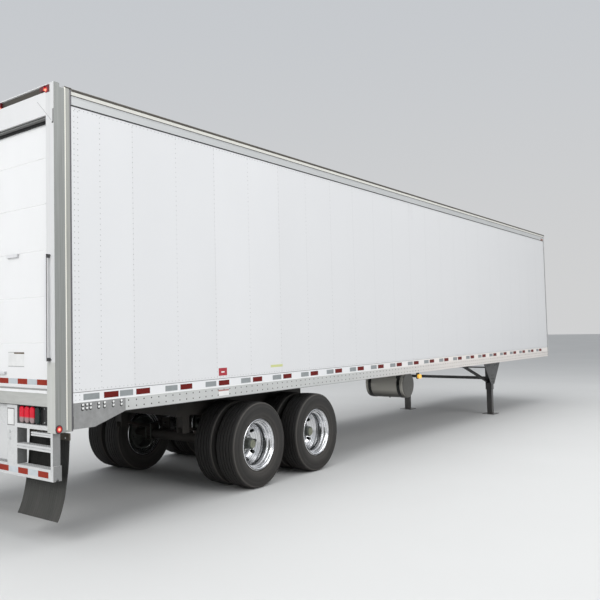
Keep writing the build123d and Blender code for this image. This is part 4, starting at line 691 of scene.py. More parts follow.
@extra
def marker_tone(tree, shader, base, roughness, height, amber, split):
    """Gives every lamp at the rear a lit core within its red lens, and makes those ahead of the split dark
    amber and unlit."""
    place = coordinates(tree)
    ahead = maths(tree, "GREATER_THAN", place["X"], split)
    from_middle = maths(tree, "ABSOLUTE", place["Y"])
    nearest = from_middle
    for centre in HEADER_LAMPS:
        beside = maths(tree, "ABSOLUTE", minus(tree, from_middle, centre))
        nearest = maths(tree, "MINIMUM", nearest, beside)
    header = apart_from(tree, nearest, minus(tree, place["Z"], HEADER_LAMP_Z))
    along, above = (minus(tree, place[axis], middle) for axis, middle in zip("XZ", POST_LAMP))
    distance = maths(tree, "MINIMUM", header, apart_from(tree, along, above))
    core = remap(tree, distance, 0.017, 0.006, smooth=True)
    halo = remap(tree, distance, 0.034, 0.012, 0.0, 0.8, smooth=True)
    red = darken(tree, minus(tree, 1.0, halo), (0.55, 0.01, 0.008, 1), 0.0)
    light = mix(tree, core, red, (1.0, 0.42, 0.24, 1))
    shader.inputs["Emission Strength"].default_value = 1.6
    tree.links.new(mix(tree, ahead, light, (0, 0, 0, 1)), shader.inputs["Emission Color"])
    return mix(tree, ahead, base, rgb(amber)), roughness, height


@extra
def prism_film(tree, shader, base, roughness, height, scale, strength):
    """The diamond cells of reflecting film, sealed with fine pale lines."""
    place = object_place(tree)
    cells = add(
        tree, "TexVoronoi", {"Vector": place, "Scale": scale, "Randomness": 0.0}, feature="DISTANCE_TO_EDGE",
    )
    edge = remap(tree, cells.outputs["Distance"], 0.0, 0.08, 1.0, 0.0)
    return mix(tree, times(tree, edge, strength), base, (0.9, 0.9, 0.9, 1)), roughness, height


def tread_shade(tree, shader, base, roughness, height):
    """Painted shade in the grooves, and painted highlights in a brownish grey on the sidewall's rings and
    shoulder, by values stored on the tyre's own points.
    """
    depth = add(tree, "Attribute", attribute_name="groove").outputs["Fac"]
    sidewall_highlight = add(tree, "Attribute", attribute_name="shoulder").outputs["Fac"]
    base = darken(tree, depth, base, 0.35)
    base = mix(tree, times(tree, sidewall_highlight, 0.42), base, (0.15, 0.138, 0.125, 1))
    return base, roughness, height


def turned_rings(tree, shader, base, roughness, height):
    """Concentric bands of the lathe, in colour and in gloss, by the radius stored on the wheel's own
    points. They take the place of the patches and the grain, so the polish stays smooth."""
    radius = add(tree, "Attribute", attribute_name="radius").outputs["Fac"]
    inputs = {"W": radius, "Scale": 120.0, "Detail": 1.5}
    ring = add(tree, "TexNoise", inputs, noise_dimensions="1D").outputs[0]
    base = darken(tree, remap(tree, ring, 0.42, 0.62), base, 0.66)
    return base, remap(tree, ring, 0.42, 0.62, 0.27, 0.22), 0.0


def leaf_lines(tree, shader, base, roughness, height):
    """Draws the joints between spring leaves: lines a leaf's thickness apart that follow the parabola of
    the pack, measured from the nearer axle."""
    place = coordinates(tree)
    middle = sum(AXLES_X) / 2
    axle = remap(tree, maths(tree, "GREATER_THAN", place["X"], middle), 0.0, 1.0, *AXLES_X)
    reach = maths(tree, "DIVIDE", minus(tree, place["X"], axle), LEAF_REACH)
    bow = times(tree, times(tree, reach, reach), LEAF_BOW)
    level = minus(tree, place["Z"], bow)
    gap = effect(tree, "lines", coordinate=level, start=0.5925, pitch=0.012, width=0.004)
    return darken(tree, gap, base, 0.3), roughness, minus(tree, height, times(tree, gap, 3.0))


# Settings that a user would change.


def length(label, note, value, **limits):
    """A length in metres."""
    return FloatProperty(name=label, description=note, default=value, unit="LENGTH", precision=4, **limits)


def tint(label, note, value):
    """A linear colour."""
    return FloatVectorProperty(
        name=label, description=note, default=value, subtype="COLOR", size=3, min=0.0, max=1.0,
    )


def turned(label, note, value):
    """An angle in radians."""
    return FloatProperty(name=label, description=note, default=value, subtype="ANGLE")


class TrailerSizes(bpy.types.PropertyGroup):
    """Sizes of the fittings, tapes, tyres and wheels"""
    rivet_radius: length("Rivet radius", "Radius of the rivet heads on the skins", 0.006)
    rivet_rise: length("Rivet rise", "How far a rivet head stands off the skin", 0.0022)
    rivet_pitch: length("Rivet pitch", "Distance between rivets in a row", 0.0508)
    row_pitch: length("Rivet row pitch", "Distance between upright rivet rows", 0.6137)
    rail_pitch: length("Rail rivet pitch", "Distance between rivets in the rails", 0.1016)
    bolt_radius: length("Bolt radius", "Radius of the bolt heads on the gussets", 0.0085)
    tape_height: length("Tape height", "Height of the reflecting tape", 0.056)
    tape_thick: length("Tape thickness", "Thickness of the reflecting tape", 0.0008)
    groove_width: length("Groove width", "Width of a tread groove", 0.010)
    groove_depth: length("Groove depth", "Depth of a tread groove", 0.013)
    tyre_steps: IntProperty(name="Tyre steps", description="Steps round a tyre", default=160, min=48)
    nut_count: IntProperty(name="Wheel nuts", description="Nuts on each wheel pair", default=10, min=6)
    hand_hole_radius: length("Hand hole radius", "Radius of the holes in a wheel disc", 0.024)
    ubolt_radius: length("U-bolt radius", "Radius of the bolts that clamp springs to axles", 0.008)


class TrailerColours(bpy.types.PropertyGroup):
    """Colours of the main finishes"""
    skin: tint("Side skin", "Coated sheet of the side walls", (0.775, 0.778, 0.788))
    door: tint("Door", "Coated door panels", (0.90, 0.90, 0.90))
    rail: tint("Rails", "Extruded rails", (0.66, 0.67, 0.66))
    post: tint("Posts", "Brushed sides of the rear posts", (0.375, 0.385, 0.37))
    sill: tint("Sill", "Brushed sheet of the door sill", (0.585, 0.59, 0.56))
    steel: tint("Galvanised steel", "Guard, steps and gussets", (0.76, 0.765, 0.76))
    tyre: tint("Tyres", "Rubber of the tyres", (0.017, 0.0165, 0.0160))
    wheel: tint("Wheels", "Polished wheel forgings", (0.93, 0.935, 0.95))
    red: tint("Red tape", "Red reflecting tape", (0.15, 0.005, 0.003))
    silver: tint("Silver tape", "Silver reflecting tape", (0.28, 0.305, 0.31))
    lamp: tint("Lamps", "Red lamp lenses", (0.62, 0.007, 0.026))
    amber: tint("Amber lamps", "Amber lamp lenses", (0.85, 0.46, 0.06))
    edge: tint("Roof edge", "Dark sealing strip along the roof edges", (0.045, 0.039, 0.030))
    # The underside's near black is partly its own coating and partly painted shade under the body.
    under: tint("Underside", "Coating of the underside", (0.018, 0.016, 0.014))


class StudioLook(bpy.types.PropertyGroup):
    """The camera, the floor and the lights"""
    camera_place: FloatVectorProperty(
        name="Camera place", description="Where the camera stands", default=(-11.2959, -6.4472, 1.8465),
        subtype="TRANSLATION",
    )
    camera_yaw: turned("Camera yaw", "Turn from forward towards the left", 0.6949)
    camera_pitch: turned("Camera pitch", "Turn above the horizon", 0.0517)
    camera_roll: turned("Camera roll", "Turn about the view line", -0.0189)
    camera_lens: FloatProperty(name="Camera lens", description="Focal length in millimetres", default=42.361)
    shift_x: FloatProperty(name="Sideways shift", description="Frame shift in frame widths", default=0.1167)
    shift_y: FloatProperty(name="Upward shift", description="Frame shift in frame widths", default=-0.0075)
    floor: tint("Floor", "Colour of the studio floor", (0.62, 0.62, 0.61))
    sky_strength: FloatProperty(
        name="Sky strength", description="Strength of the light from all round", default=0.72, min=0.0,
    )
    lamp_strength: FloatProperty(
        name="Lamp strength", description="Factor on the power of the studio lamps", default=0.70, min=0.0,
    )


MUD = (0.16, 0.14, 0.12)
DRY_DUST = (0.12, 0.11, 0.10)


def make_sheets(tone):
    """Coated sheets of the walls, door, roof and cooling unit."""
    laps = panel_laps(SHEET_WIDTH, FIRST_SHEET, 0.006)
    # Painted shade: the side skin turns darker towards the front.
    forward_shade = forward_shade_and_tone(shade(tone.skin, 0.925), REAR + 2.6, REAR + 5.4, 1.0)
    foot = band("Z", WALL_LOW[2], WALL_LOW[2] + 0.0022, (0.09, 0.09, 0.09), softness=0.0006)
    finish(
        "coated_skin", tone.skin, 0.965, (0.28, 0.36), patches=0.5, spread=(1, 1, 0.35), grain=90,
        depth=0.0006, dust=(MUD, 1.2, 1.9, 0.06), coat=0.25, extras=(laps, forward_shade, foot),
    )
    finish(
        "door_panels", tone.door, 0.97, (0.3, 0.4), patches=1.2, spread=(1, 1, 0.3),
        dust=(MUD, 1.2, 1.7, 0.10), coat=0.2,
    )
    finish(
        "header_panel", shade(tone.door, 0.89), shade(tone.door, 0.86), (0.3, 0.42), patches=2.4, coat=0.2,
    )
    finish(
        "roof_sheet", (0.62, 0.63, 0.63), (0.5, 0.51, 0.5), (0.4, 0.6), 0.45, patches=0.9,
        extras=(panel_laps(SHEET_WIDTH, FIRST_SHEET, 0.02),),
    )
    finish(
        "gloss_shell", (0.82, 0.82, 0.81), (0.78, 0.78, 0.77), (0.2, 0.3), patches=0.9, spread=(1, 1, 0.4),
        grain=140, depth=0.0003, coat=0.5,
    )


def make_metals(tone):
    """Extrusions, brushed and galvanised sheet, polished and cast metal."""
    finish(
        "bottom_rail", tone.rail, 0.9, (0.36, 0.52), 0.35, patches=2.6, spread=(0.6, 1, 1.6),
        drawn=(0.05, 6, 6), depth=0.0002, dust=(MUD, 1.0, 1.5, 0.12),
        extras=(
            band("Z", 1.244, 1.3265, shade(tone.skin, 1.02), metallic=0.0),
            band("Z", 1.3268, 1.3295, (0.09, 0.09, 0.09), softness=0.0006),
            band("Z", 1.2355, 1.2435, (0.92, 0.92, 0.91), softness=0.0008),
            band("Z", 1.1145, 1.1175, (0.10, 0.10, 0.10), 0.8),
            forward_shade_and_tone((0.86, 0.81, 0.77), REAR + 5.0, REAR + 8.5, 0.9),
        ),
    )
    finish(
        "top_rail", (0.66, 0.67, 0.67), (0.60, 0.61, 0.61), (0.34, 0.48), 0.4, patches=1.6,
        spread=(0.4, 1, 1), drawn=(0.05, 6, 6), depth=0.0002,
        extras=(
            slanted(0.010, 0.005, 0.93), band("Z", 4.0375, 4.102, (0.70, 0.69, 0.64), metallic=0.0),
            band("Z", 4.0285, 4.0365, (0.075, 0.072, 0.068)),
            band("Z", 3.9345, 3.9475, (0.035, 0.035, 0.036)),
        ),
    )
    finish(
        "corner_extrusion", tone.rail, 0.88, (0.34, 0.52), 0.5, patches=1.6, spread=(1, 1, 0.4),
        drawn=(6, 6, 0.05), depth=0.0002,
    )
    finish(
        "brushed_post", tone.post, 0.86, (0.35, 0.55), 0.45, patches=5, spread=(3, 3, 0.2), grain=40,
        drawn=(8, 8, 0.15), depth=0.0003,
        extras=(post_zones, post_paint(1.61, shade(tone.door, 0.82), tone.sill)),
    )
    finish(
        "brushed_sill", tone.sill, 0.9, (0.32, 0.5), 0.3, patches=2.2, spread=(1, 0.3, 2), grain=40,
        drawn=(1, 0.1, 8), depth=0.0003,
        extras=(
            band("Z", 1.3325, 1.3575, (0.90, 0.90, 0.90), softness=0.0005, metallic=0.0),
            brushed(14, (1, 0.6, 3), 0.18), band("Z", 1.2105, 1.2165, (0.05, 0.05, 0.05), softness=0.0006),
        ),
    )
    finish(
        "zinc_coated_steel", tone.steel, 0.92, (0.4, 0.58), 0.25, patches=4, depth=0.0003,
        # Painted shade: the guard's faces that look to the sides or down are darker.
        dust=(MUD, 0.2, 1.0, 0.06), extras=(zinc(60.0, 0.12), sideways_shade(0.36)),
    )
    finish(
        "weathered_gusset", shade(tone.steel, 0.45), shade(tone.steel, 0.365), (0.4, 0.6), 0.2, depth=0.0003,
        dust=(MUD, 0.8, 1.25, 0.2), extras=(zinc(45.0, 0.1), brushed(9, (1, 1, 0.5), 0.2)),
    )
    finish(
        "floor_slats", (0.42, 0.43, 0.44), (0.3, 0.3, 0.3), (0.35, 0.6), 0.8, patches=1.4,
        spread=(0.3, 1, 1), extras=(ribbed(0.0318, 0.012, "Y"),),
    )
    finish("bright_metal", (0.78, 0.79, 0.79), (0.6, 0.61, 0.61), (0.2, 0.32), 0.85, patches=9, depth=0.0001)
    finish(
        "greased_casting", (0.16, 0.15, 0.14), (0.09, 0.085, 0.08), (0.25, 0.45), 0.7, patches=18, grain=200,
        depth=0.0006,
    )
    # Painted light on the tank: its pale colour stands for a bright reflection on its upper part, this darker
    # band lower down is painted shade, and the shade on sideways faces darkens its ends.
    lower_tank_shade = band("Z", 0.5, 0.90, (0.62, 0.60, 0.54), 0.9, softness=0.12)
    finish(
        "satin_tank", (0.93, 0.91, 0.85), (0.84, 0.82, 0.76), (0.28, 0.38), 0.2, patches=5,
        spread=(1, 0.3, 1), depth=0.0002, drawn=(8, 1, 8), extras=(lower_tank_shade, sideways_shade(0.16)),
    )
    finish(
        "polished_forging", tone.wheel, 0.93, (0.23, 0.29), 1.0, patches=6, grain=20, depth=0.0001,
        extras=(turned_rings,),
    )


def make_dark_parts(tone):
    """Coated steel of the underside, darkened further as painted shade, rubber and plastic."""
    # Underside parts: a dark coating, made near black as painted shade under the body.
    finish(
        "underside_coating_and_shade", tone.under, 2.0, (0.6, 0.8), patches=3, depth=0.002,
        dust=((0.05, 0.043, 0.036), 0.2, 1.1, 0.5),
    )
    # Dark metal: on the crossmembers under the body its darkness is painted shade.
    finish(
        "dark_metal_and_shade", (0.09, 0.085, 0.08), (0.05, 0.046, 0.042), (0.5, 0.7), 0.4, patches=2,
        extras=(brushed(12, (1, 1, 1), 0.4),),
    )
    finish(
        "black_paint", (0.02, 0.02, 0.021), (0.035, 0.034, 0.032), (0.25, 0.45), patches=5, depth=0.0006,
        dust=(DRY_DUST, 0.0, 0.7, 0.4), coat=0.3,
    )
    finish(
        "spring_leaves", (0.03, 0.028, 0.026), (0.06, 0.045, 0.035), (0.4, 0.65), 0.3, patches=9,
        depth=0.001, dust=(DRY_DUST, 0.3, 0.9, 0.3), extras=(leaf_lines,),
    )
    finish("dusty_hangers", (0.105, 0.087, 0.066), (0.07, 0.06, 0.048), (0.5, 0.7), patches=9, specular=0.3)
    finish(
        "painted_iron", (0.075, 0.088, 0.076), (0.05, 0.055, 0.05), (0.4, 0.6), 0.1, patches=14, grain=220,
        depth=0.001, dust=(DRY_DUST, 0.0, 1.0, 0.35),
    )
    finish("hub_cap_metal", (0.27, 0.275, 0.21), (0.19, 0.20, 0.15), (0.3, 0.48), 0.5, patches=22)
    finish(
        "tyre_rubber", tone.tyre, 1.5, (0.62, 0.8), grain=260, depth=0.0006,
        dust=((0.036, 0.032, 0.028), 0.0, 0.8, 0.4), specular=0.3, extras=(tread_shade,),
    )
    finish(
        "moulded_rubber", (0.052, 0.054, 0.050), (0.072, 0.073, 0.068), (0.5, 0.7), patches=5,
        spread=(1, 1, 0.4), depth=0.001, dust=(DRY_DUST, 0.0, 0.8, 0.4), specular=0.25,
        extras=(ribbed(0.03, 0.008, "Y", 3.0, 0.9), shadowed_above(0.46, 0.60, 0.42)),
    )
    finish(
        "seal_rubber", (0.012, 0.012, 0.012), (0.02, 0.02, 0.02), (0.5, 0.7), patches=1.5, depth=0.0008,
        specular=0.2,
        extras=(
            band("Z", 3.808, 3.84, (0.26, 0.26, 0.255), softness=0.018), ribbed(0.01, 0.004, "Z", 2.0, 0.7),
        ),
    )
    finish("edge_strip", tone.edge, 1.6, (0.35, 0.55), patches=3, spread=(0.5, 1, 1), grain=90, depth=0.0005)
    finish(
        "lamp_box_plastic", (0.016, 0.016, 0.017), (0.03, 0.03, 0.03), (0.3, 0.5), patches=8, grain=240,
        depth=0.0006, dust=(DRY_DUST, 0.8, 1.3, 0.2),
    )
    finish(
        "grille_plastic", (0.03, 0.03, 0.032), (0.05, 0.05, 0.05), (0.4, 0.6), patches=1.5, grain=180,
        depth=0.0006,
    )
    finish(
        "cooling_fins", (0.12, 0.12, 0.125), (0.08, 0.08, 0.08), (0.4, 0.6), 0.6, patches=1.5,
        extras=(ribbed(0.004, 0.003, "Y", 6.0, 0.35),),
    )


def make_films(tone):
    """Tape, labels, sealant and lamp lenses."""
    film, red_film = prism_film(90.0, 0.2), prism_film(90.0, 0.03)
    finish(
        "pale_sealant", (0.95, 0.93, 0.85), (0.88, 0.86, 0.76), (0.45, 0.6), patches=8, spread=(1, 1, 0.2),
    )
    finish("red_film", tone.red, 0.8, (0.4, 0.5), specular=0.15, extras=(red_film,))
    finish("silver_film", tone.silver, 0.85, (0.3, 0.45), 0.1, coat=0.1, extras=(film,))
    finish("blank_label", (0.86, 0.86, 0.85), (0.78, 0.78, 0.77), (0.35, 0.5), coat=0.3)
    finish("label_edge", (0.16, 0.15, 0.15), (0.11, 0.10, 0.10), (0.4, 0.5))
    finish(
        "rear_red_film", (0.33, 0.030, 0.011), (0.27, 0.020, 0.009), (0.35, 0.45), specular=0.15,
        extras=(red_film,),
    )
    finish(
        "rear_silver_film", (0.62, 0.66, 0.69), (0.52, 0.57, 0.6), (0.3, 0.45), 0.1, coat=0.3,
        extras=(film,),
    )
    # Painted shade: the handles are pale where they face the rear and dark on their sides.
    finish(
        "pale_handles", (0.86, 0.86, 0.87), (0.78, 0.78, 0.79), (0.3, 0.4), 0.2, patches=4,
        spread=(1, 1, 0.3), extras=(sideways_shade(0.06, 0.9),),
    )
    # Dark finish for the post plate bolts, and for painted shade under the gusset bolts and in the guard's
    # notches.
    finish("dark_bolts_and_shade", (0.03, 0.03, 0.03), (0.05, 0.05, 0.048), (0.5, 0.6))
    finish("brown_line", (0.11, 0.07, 0.022), (0.08, 0.05, 0.018), (0.4, 0.5))
    # Grey skin rivets: painted shade of the white rivet domes.
    finish("shaded_rivets", (0.53, 0.53, 0.54), (0.45, 0.45, 0.45), (0.4, 0.6), 0.2, patches=9)
    finish("grey_line", (0.42, 0.42, 0.42), (0.34, 0.34, 0.34), (0.4, 0.5))
    finish("red_sign", (0.42, 0.015, 0.03), (0.36, 0.015, 0.028), (0.3, 0.4), coat=0.4)
    finish("pale_yellow_label", (0.62, 0.66, 0.25), (0.58, 0.6, 0.3), (0.35, 0.5), coat=0.2)
    finish(
        "side_plate", (0.84, 0.84, 0.83), (0.78, 0.78, 0.77), (0.35, 0.5),
        extras=(band("Z", 1.191, 1.2065, (0.40, 0.20, 0.18)),),
    )
    finish(
        "tail_lens", tone.lamp, 0.8, (0.12, 0.2), coat=0.1, specular=0.2,
        extras=(lens(0.28, lit_within=0.96),),
    )
    finish(
        "marker_lens", shade(tone.lamp, 0.22), shade(tone.lamp, 0.14), (0.15, 0.25), coat=0.5,
        extras=(marker_tone((0.25, 0.05, 0.01), 0.0),),
    )
    finish("amber_lens", tone.amber, 0.8, (0.12, 0.2), coat=0.5, extras=(lens(0.9),))


class TRAILER_OT_finishes(bpy.types.Operator):
    """Makes the node groups and every material"""

    bl_idname = "trailer.finishes"
    bl_label = "Make finishes"

    def execute(self, context):
        tone = context.scene.trailer_colours
        make_groups()
        make_sheets(tone)
        make_metals(tone)
        make_dark_parts(tone)
        make_films(tone)
        return {"FINISHED"}


NODE_FINISH = {
    "coated_skin": ["side_wall_right", "side_wall_left", "front_wall"],
    "door_panels": ["roll_door"],
    "header_panel": ["rear_header"],
    "bottom_rail": ["side_rails"],
    "top_rail": ["top_rails"],
    "corner_extrusion": ["corner_posts"],
    "roof_sheet": ["roof"],
    "floor_slats": ["floor"],
    "brushed_post": ["rear_posts"],
    "brushed_sill": ["rear_sill"],
    "zinc_coated_steel": ["rear_guard"],
    "dusty_hangers": ["flap_hangers"],
    "weathered_gusset": ["rear_gussets"],
    "pale_handles": ["rear_handles"],
    "greased_casting": ["kingpin", "service_plugs"],
    "underside_coating_and_shade": ["coupler", "slider_rails", "bogie_frame", "axles", "lamp_brackets"],
    "dark_metal_and_shade": ["crossmembers"],
    "black_paint": ["landing_gear", "landing_feet", "air_brakes", "tank_brackets"],
    "spring_leaves": ["springs"],
    "painted_iron": ["unit_engine"] + [f"hub_{corner}" for corner in CORNERS],
    "satin_tank": ["fuel_tank"],
    "polished_forging": [f"wheels_{corner}" for corner in CORNERS],
    "tyre_rubber": [f"tyres_{corner}" for corner in CORNERS],
    "moulded_rubber": ["mudflaps"],
    "seal_rubber": ["door_seals"],
    "lamp_box_plastic": ["lamp_housings"],
    "tail_lens": ["tail_lamps"],
    "marker_lens": ["marker_lamps"],
    "amber_lens": ["middle_lamps"],
    "side_plate": ["side_plates"],
    "gloss_shell": ["unit_housing", "unit_door_right", "unit_door_left"],
    "grille_plastic": ["unit_grille"],
}


class TRAILER_OT_cad_finishes(bpy.types.Operator):
    """Gives every CAD node its material"""

    bl_idname = "trailer.cad_finishes"
    bl_label = "Finish the CAD nodes"

    def execute(self, context):
        for name, nodes in NODE_FINISH.items():
            for node in nodes:
                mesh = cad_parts[node].data
                mesh.materials.clear()
                mesh.materials.append(FINISH[name])
        return {"FINISHED"}


def rivet_head(radius, rise, sides=8):
    """A round head on a skin, with a ring at about seven tenths of the radius near the top."""
    return lathe([(0, -0.0004), (radius, -0.0004), (radius * 0.72, rise * 0.75), (0, rise)], sides)


def bolt_head(radius, rise):
    """A washer, six flats and a closed top."""
    wide, bevelled, low, high = radius * 1.35, radius * 1.1, rise * 0.2, rise * 0.28
    washer = lathe([(0, -0.0005), (wide, -0.0005), (wide, low), (bevelled, high), (0, high)], 16)
    head = lathe([(0, 0), (radius, 0), (radius, rise * 0.85), (radius * 0.86, rise), (0, rise)], 6)
    return join(washer, head)


def row_x(sizes):
    """Places of the upright rivet rows: two close ones by the rear post, one between, then even ones."""
    last = WALL_HIGH[0] - 0.03
    even = np.arange(FIRST_SHEET, last - 0.1, sizes.row_pitch)
    return np.concatenate([POST_ROWS, [REAR + 0.525], even, [last]])


class TRAILER_OT_skin_rivets(bpy.types.Operator):
    """Rivet heads on the side skins, in upright rows and along both edges, and on the front wall"""

    bl_idname = "trailer.skin_rivets"
    bl_label = "Skin rivets"

    def execute(self, context):
        sizes = context.scene.trailer_sizes
        head = rivet_head(sizes.rivet_radius, sizes.rivet_rise)
        heights = np.arange(WALL_LOW[2] + 0.03, WALL_HIGH[2] - 0.02, sizes.rivet_pitch)
        along = np.arange(WALL_LOW[0] + 0.04, WALL_HIGH[0] - 0.02, sizes.rivet_pitch)
        edges = [WALL_LOW[2] + 0.022, WALL_HIGH[2] - 0.02]
        tape_edges = [RAIL_HIGH[2] - 0.067, RAIL_HIGH[2] - 0.025]
        for label, side in NAMED_SIDES:
            skin = [side * WALL_HIGH[1]]
            places = [lines_of(row_x(sizes), skin, heights), lines_of(along, skin, edges)]
            places.append(lines_of(POST_ROWS, skin, tape_edges))
            shape = stamp(head, np.concatenate(places), (0, side, 0))
            # The grey of the rivet heads is painted shade.
            make_piece(f"skin_rivets_{label}", shape, "shaded_rivets", 60)
        front_low, front_high = BOXES["front_wall"]
        front_rows, front_pitch = [-1.14, -0.99, 0.99, 1.14], 0.0762
        heights = np.arange(front_low[2] + 0.05, front_high[2] - 0.03, front_pitch)
        shape = stamp(head, lines_of([front_high[0]], front_rows, heights), (1, 0, 0))
        make_piece("front_rivets", shape, "coated_skin", 60)
        return {"FINISHED"}


class TRAILER_OT_rail_rivets(bpy.types.Operator):
    """Rivets in the bottom rails, and gusset bolts painted white as a highlight over painted shadows"""

    bl_idname = "trailer.rail_rivets"
    bl_label = "Rail rivets and gusset bolts"

    def execute(self, context):
        sizes = context.scene.trailer_sizes
        web = HALF - 0.003
        along = np.arange(REAR + 0.853, RAIL_HIGH[0] - 0.05, sizes.rail_pitch)
        rivet_rows, bolt_rows = [1.209, 1.151], np.array([1.214, 1.182])
        # Each bolt stands a little forward of and above the middle of a dark ring, a painted shadow below it.
        shadow_back, shadow_down = 0.005, 0.006
        head = rivet_head(0.0085, 0.0026)
        bolt = bolt_head(sizes.bolt_radius, 0.0048)
        ring = lathe([(0, -0.0004), (0.0175, -0.0004), (0.0175, 0.0006), (0, 0.0006)], 20)
        bolt_x = REAR + np.array([0.301, 0.348, 0.391, 0.486, 0.555, 0.661, 0.761])
        rivets, bolts, bolt_shadows = [], [], []
        for side in SIDES:
            out = (0, side, 0)
            rivets.append(stamp(head, lines_of(along, [side * web], rivet_rows), out))
            bolts.append(stamp(bolt, lines_of(bolt_x, [side * HALF], bolt_rows), out))
            bolt_shadows.append(stamp(
                ring, lines_of(bolt_x - shadow_back, [side * HALF], bolt_rows - shadow_down), out,
            ))
        make_piece("rail_rivets", join(*rivets), "dark_metal_and_shade", 60)
        # The bolt heads get the white label finish: a painted highlight on their tops.
        make_piece("gusset_bolts", join(*bolts), "blank_label", 50)
        make_piece("gusset_bolt_shadows", join(*bolt_shadows), "dark_bolts_and_shade", 50)
        return {"FINISHED"}


class TRAILER_OT_reflecting_tape(bpy.types.Operator):
    """Red and silver tape on the side rails, the door's foot and the rear guard"""

    bl_idname = "trailer.reflecting_tape"
    bl_label = "Reflecting tape"

    def execute(self, context):
        sizes = context.scene.trailer_sizes
        thick, middle = sizes.tape_thick, 1.282
        z = (middle - sizes.tape_height / 2, middle + sizes.tape_height / 2)
        # Places from the rear: two uneven ones of each colour, then an even pattern.
        reds = [(0.550, 0.728), (0.954, 1.139)]
        silvers = [(0.310, 0.496), (0.745, 0.913)]
        for start in np.arange(1.576, WALL_HIGH[0] - REAR - 0.25, sizes.row_pitch):
            reds.append((start, start + 0.18))
            silvers.append((start - 0.221, start - 0.044))
        red, silver = [], []
        for side in SIDES:
            y = across(WALL_HIGH[1], WALL_HIGH[1] + thick, side)
            for spans, out in ((reds, red), (silvers, silver)):
                out += [patch((REAR + low, REAR + high), y, z) for low, high in spans]
        # Rear rows: face, reach from the middle, first red, red length, pitch, low and high edge.
        rear_red, rear_silver, joint = [], [], 0.002
        for face, reach, first, wide, pitch, low, high in (
            (DOOR_FACE, 1.163, -1.420, 0.152, 0.3050, 1.400, 1.450),
            (GUARD_LOW[0], 1.185, -1.185, 0.152, 0.3075, 0.592, 0.645),
        ):
            starts = np.arange(first, reach, pitch)
            spans = [(start, start + wide, rear_red) for start in starts]
            spans += [(start + wide + joint, start + pitch - joint, rear_silver) for start in starts]
            for start, end, out in spans:
                start, end = max(start, -reach), min(end, reach)
                if end > start:
                    out.append(patch((face - thick, face), (start, end), (low, high)))
        make_piece("tape_red", slab_set(red), "red_film")
        make_piece("rear_tape_red", slab_set(rear_red), "rear_red_film")
        make_piece("rear_tape_silver", slab_set(rear_silver), "rear_silver_film")
        make_piece("tape_silver", slab_set(silver), "silver_film")
        return {"FINISHED"}


def swap_axes(shape):
    """The same closed quads with x and y exchanged, turned back to face outwards."""
    points, faces = shape
    return points[:, [1, 0, 2]], faces[:, ::-1]


class TRAILER_OT_lamps(bpy.types.Operator):
    """Rings round the tail lamps, collars of the lamps on the posts and sides, and the lamp box screws"""

    bl_idname = "trailer.lamps"
    bl_label = "Lamps"

    def execute(self, context):
        gap = 0.0003
        ring = [(gap, -0.001), (0.006, -0.001), (0.006, 0.009), (0.004, 0.013), (gap, 0.013)]
        grommet = oval_ring(0.152, 0.068, ring)
        apart = [side * (TAIL_LAMP_FIRST + TAIL_LAMP_PITCH * k) for side in SIDES for k in range(TAIL_LAMPS)]
        shape = stamp(grommet, lines_of([LAMP_BOX_FACE], apart, [TAIL_LAMP_Z]), (-1, 0, 0))
        make_piece("tail_lamp_rings", shape, "lamp_box_plastic", 40, outward=True)
        profile = [(0.0322, -0.003), (0.0385, -0.003), (0.0385, 0.001), (0.0365, 0.0028), (0.0322, 0.0028)]
        collar = ring_loop(profile, 40)
        small = [stamp(collar, [(POST_LAMP[0], side * HALF, POST_LAMP[1])], (0, side, 0)) for side in SIDES]
        low, high = BOXES["middle_lamps"]
        x, z = (low[0] + high[0]) / 2, (low[2] + high[2]) / 2
        profile = [(gap, -0.001), (0.007, -0.001), (0.007, 0.010), (0.004, 0.014), (gap, 0.014)]
        bezel = swap_axes(oval_ring(0.110, 0.070, profile))
        base = BOXES["lamp_brackets"][1][1]
        small += [stamp(bezel, [(x, side * base, z)], (0, side, 0)) for side in SIDES]
        make_piece("small_lamp_collars", join(*small), "lamp_box_plastic", 40, outward=True)
        apart = [side * y for side in SIDES for y in (1.075, 1.158)]
        shape = stamp(bolt_head(0.0045, 0.003), lines_of([LAMP_BOX_FACE], apart, [1.066, 1.189]), (-1, 0, 0))
        make_piece("lamp_box_screws", shape, "bright_metal", 40)
        return {"FINISHED"}


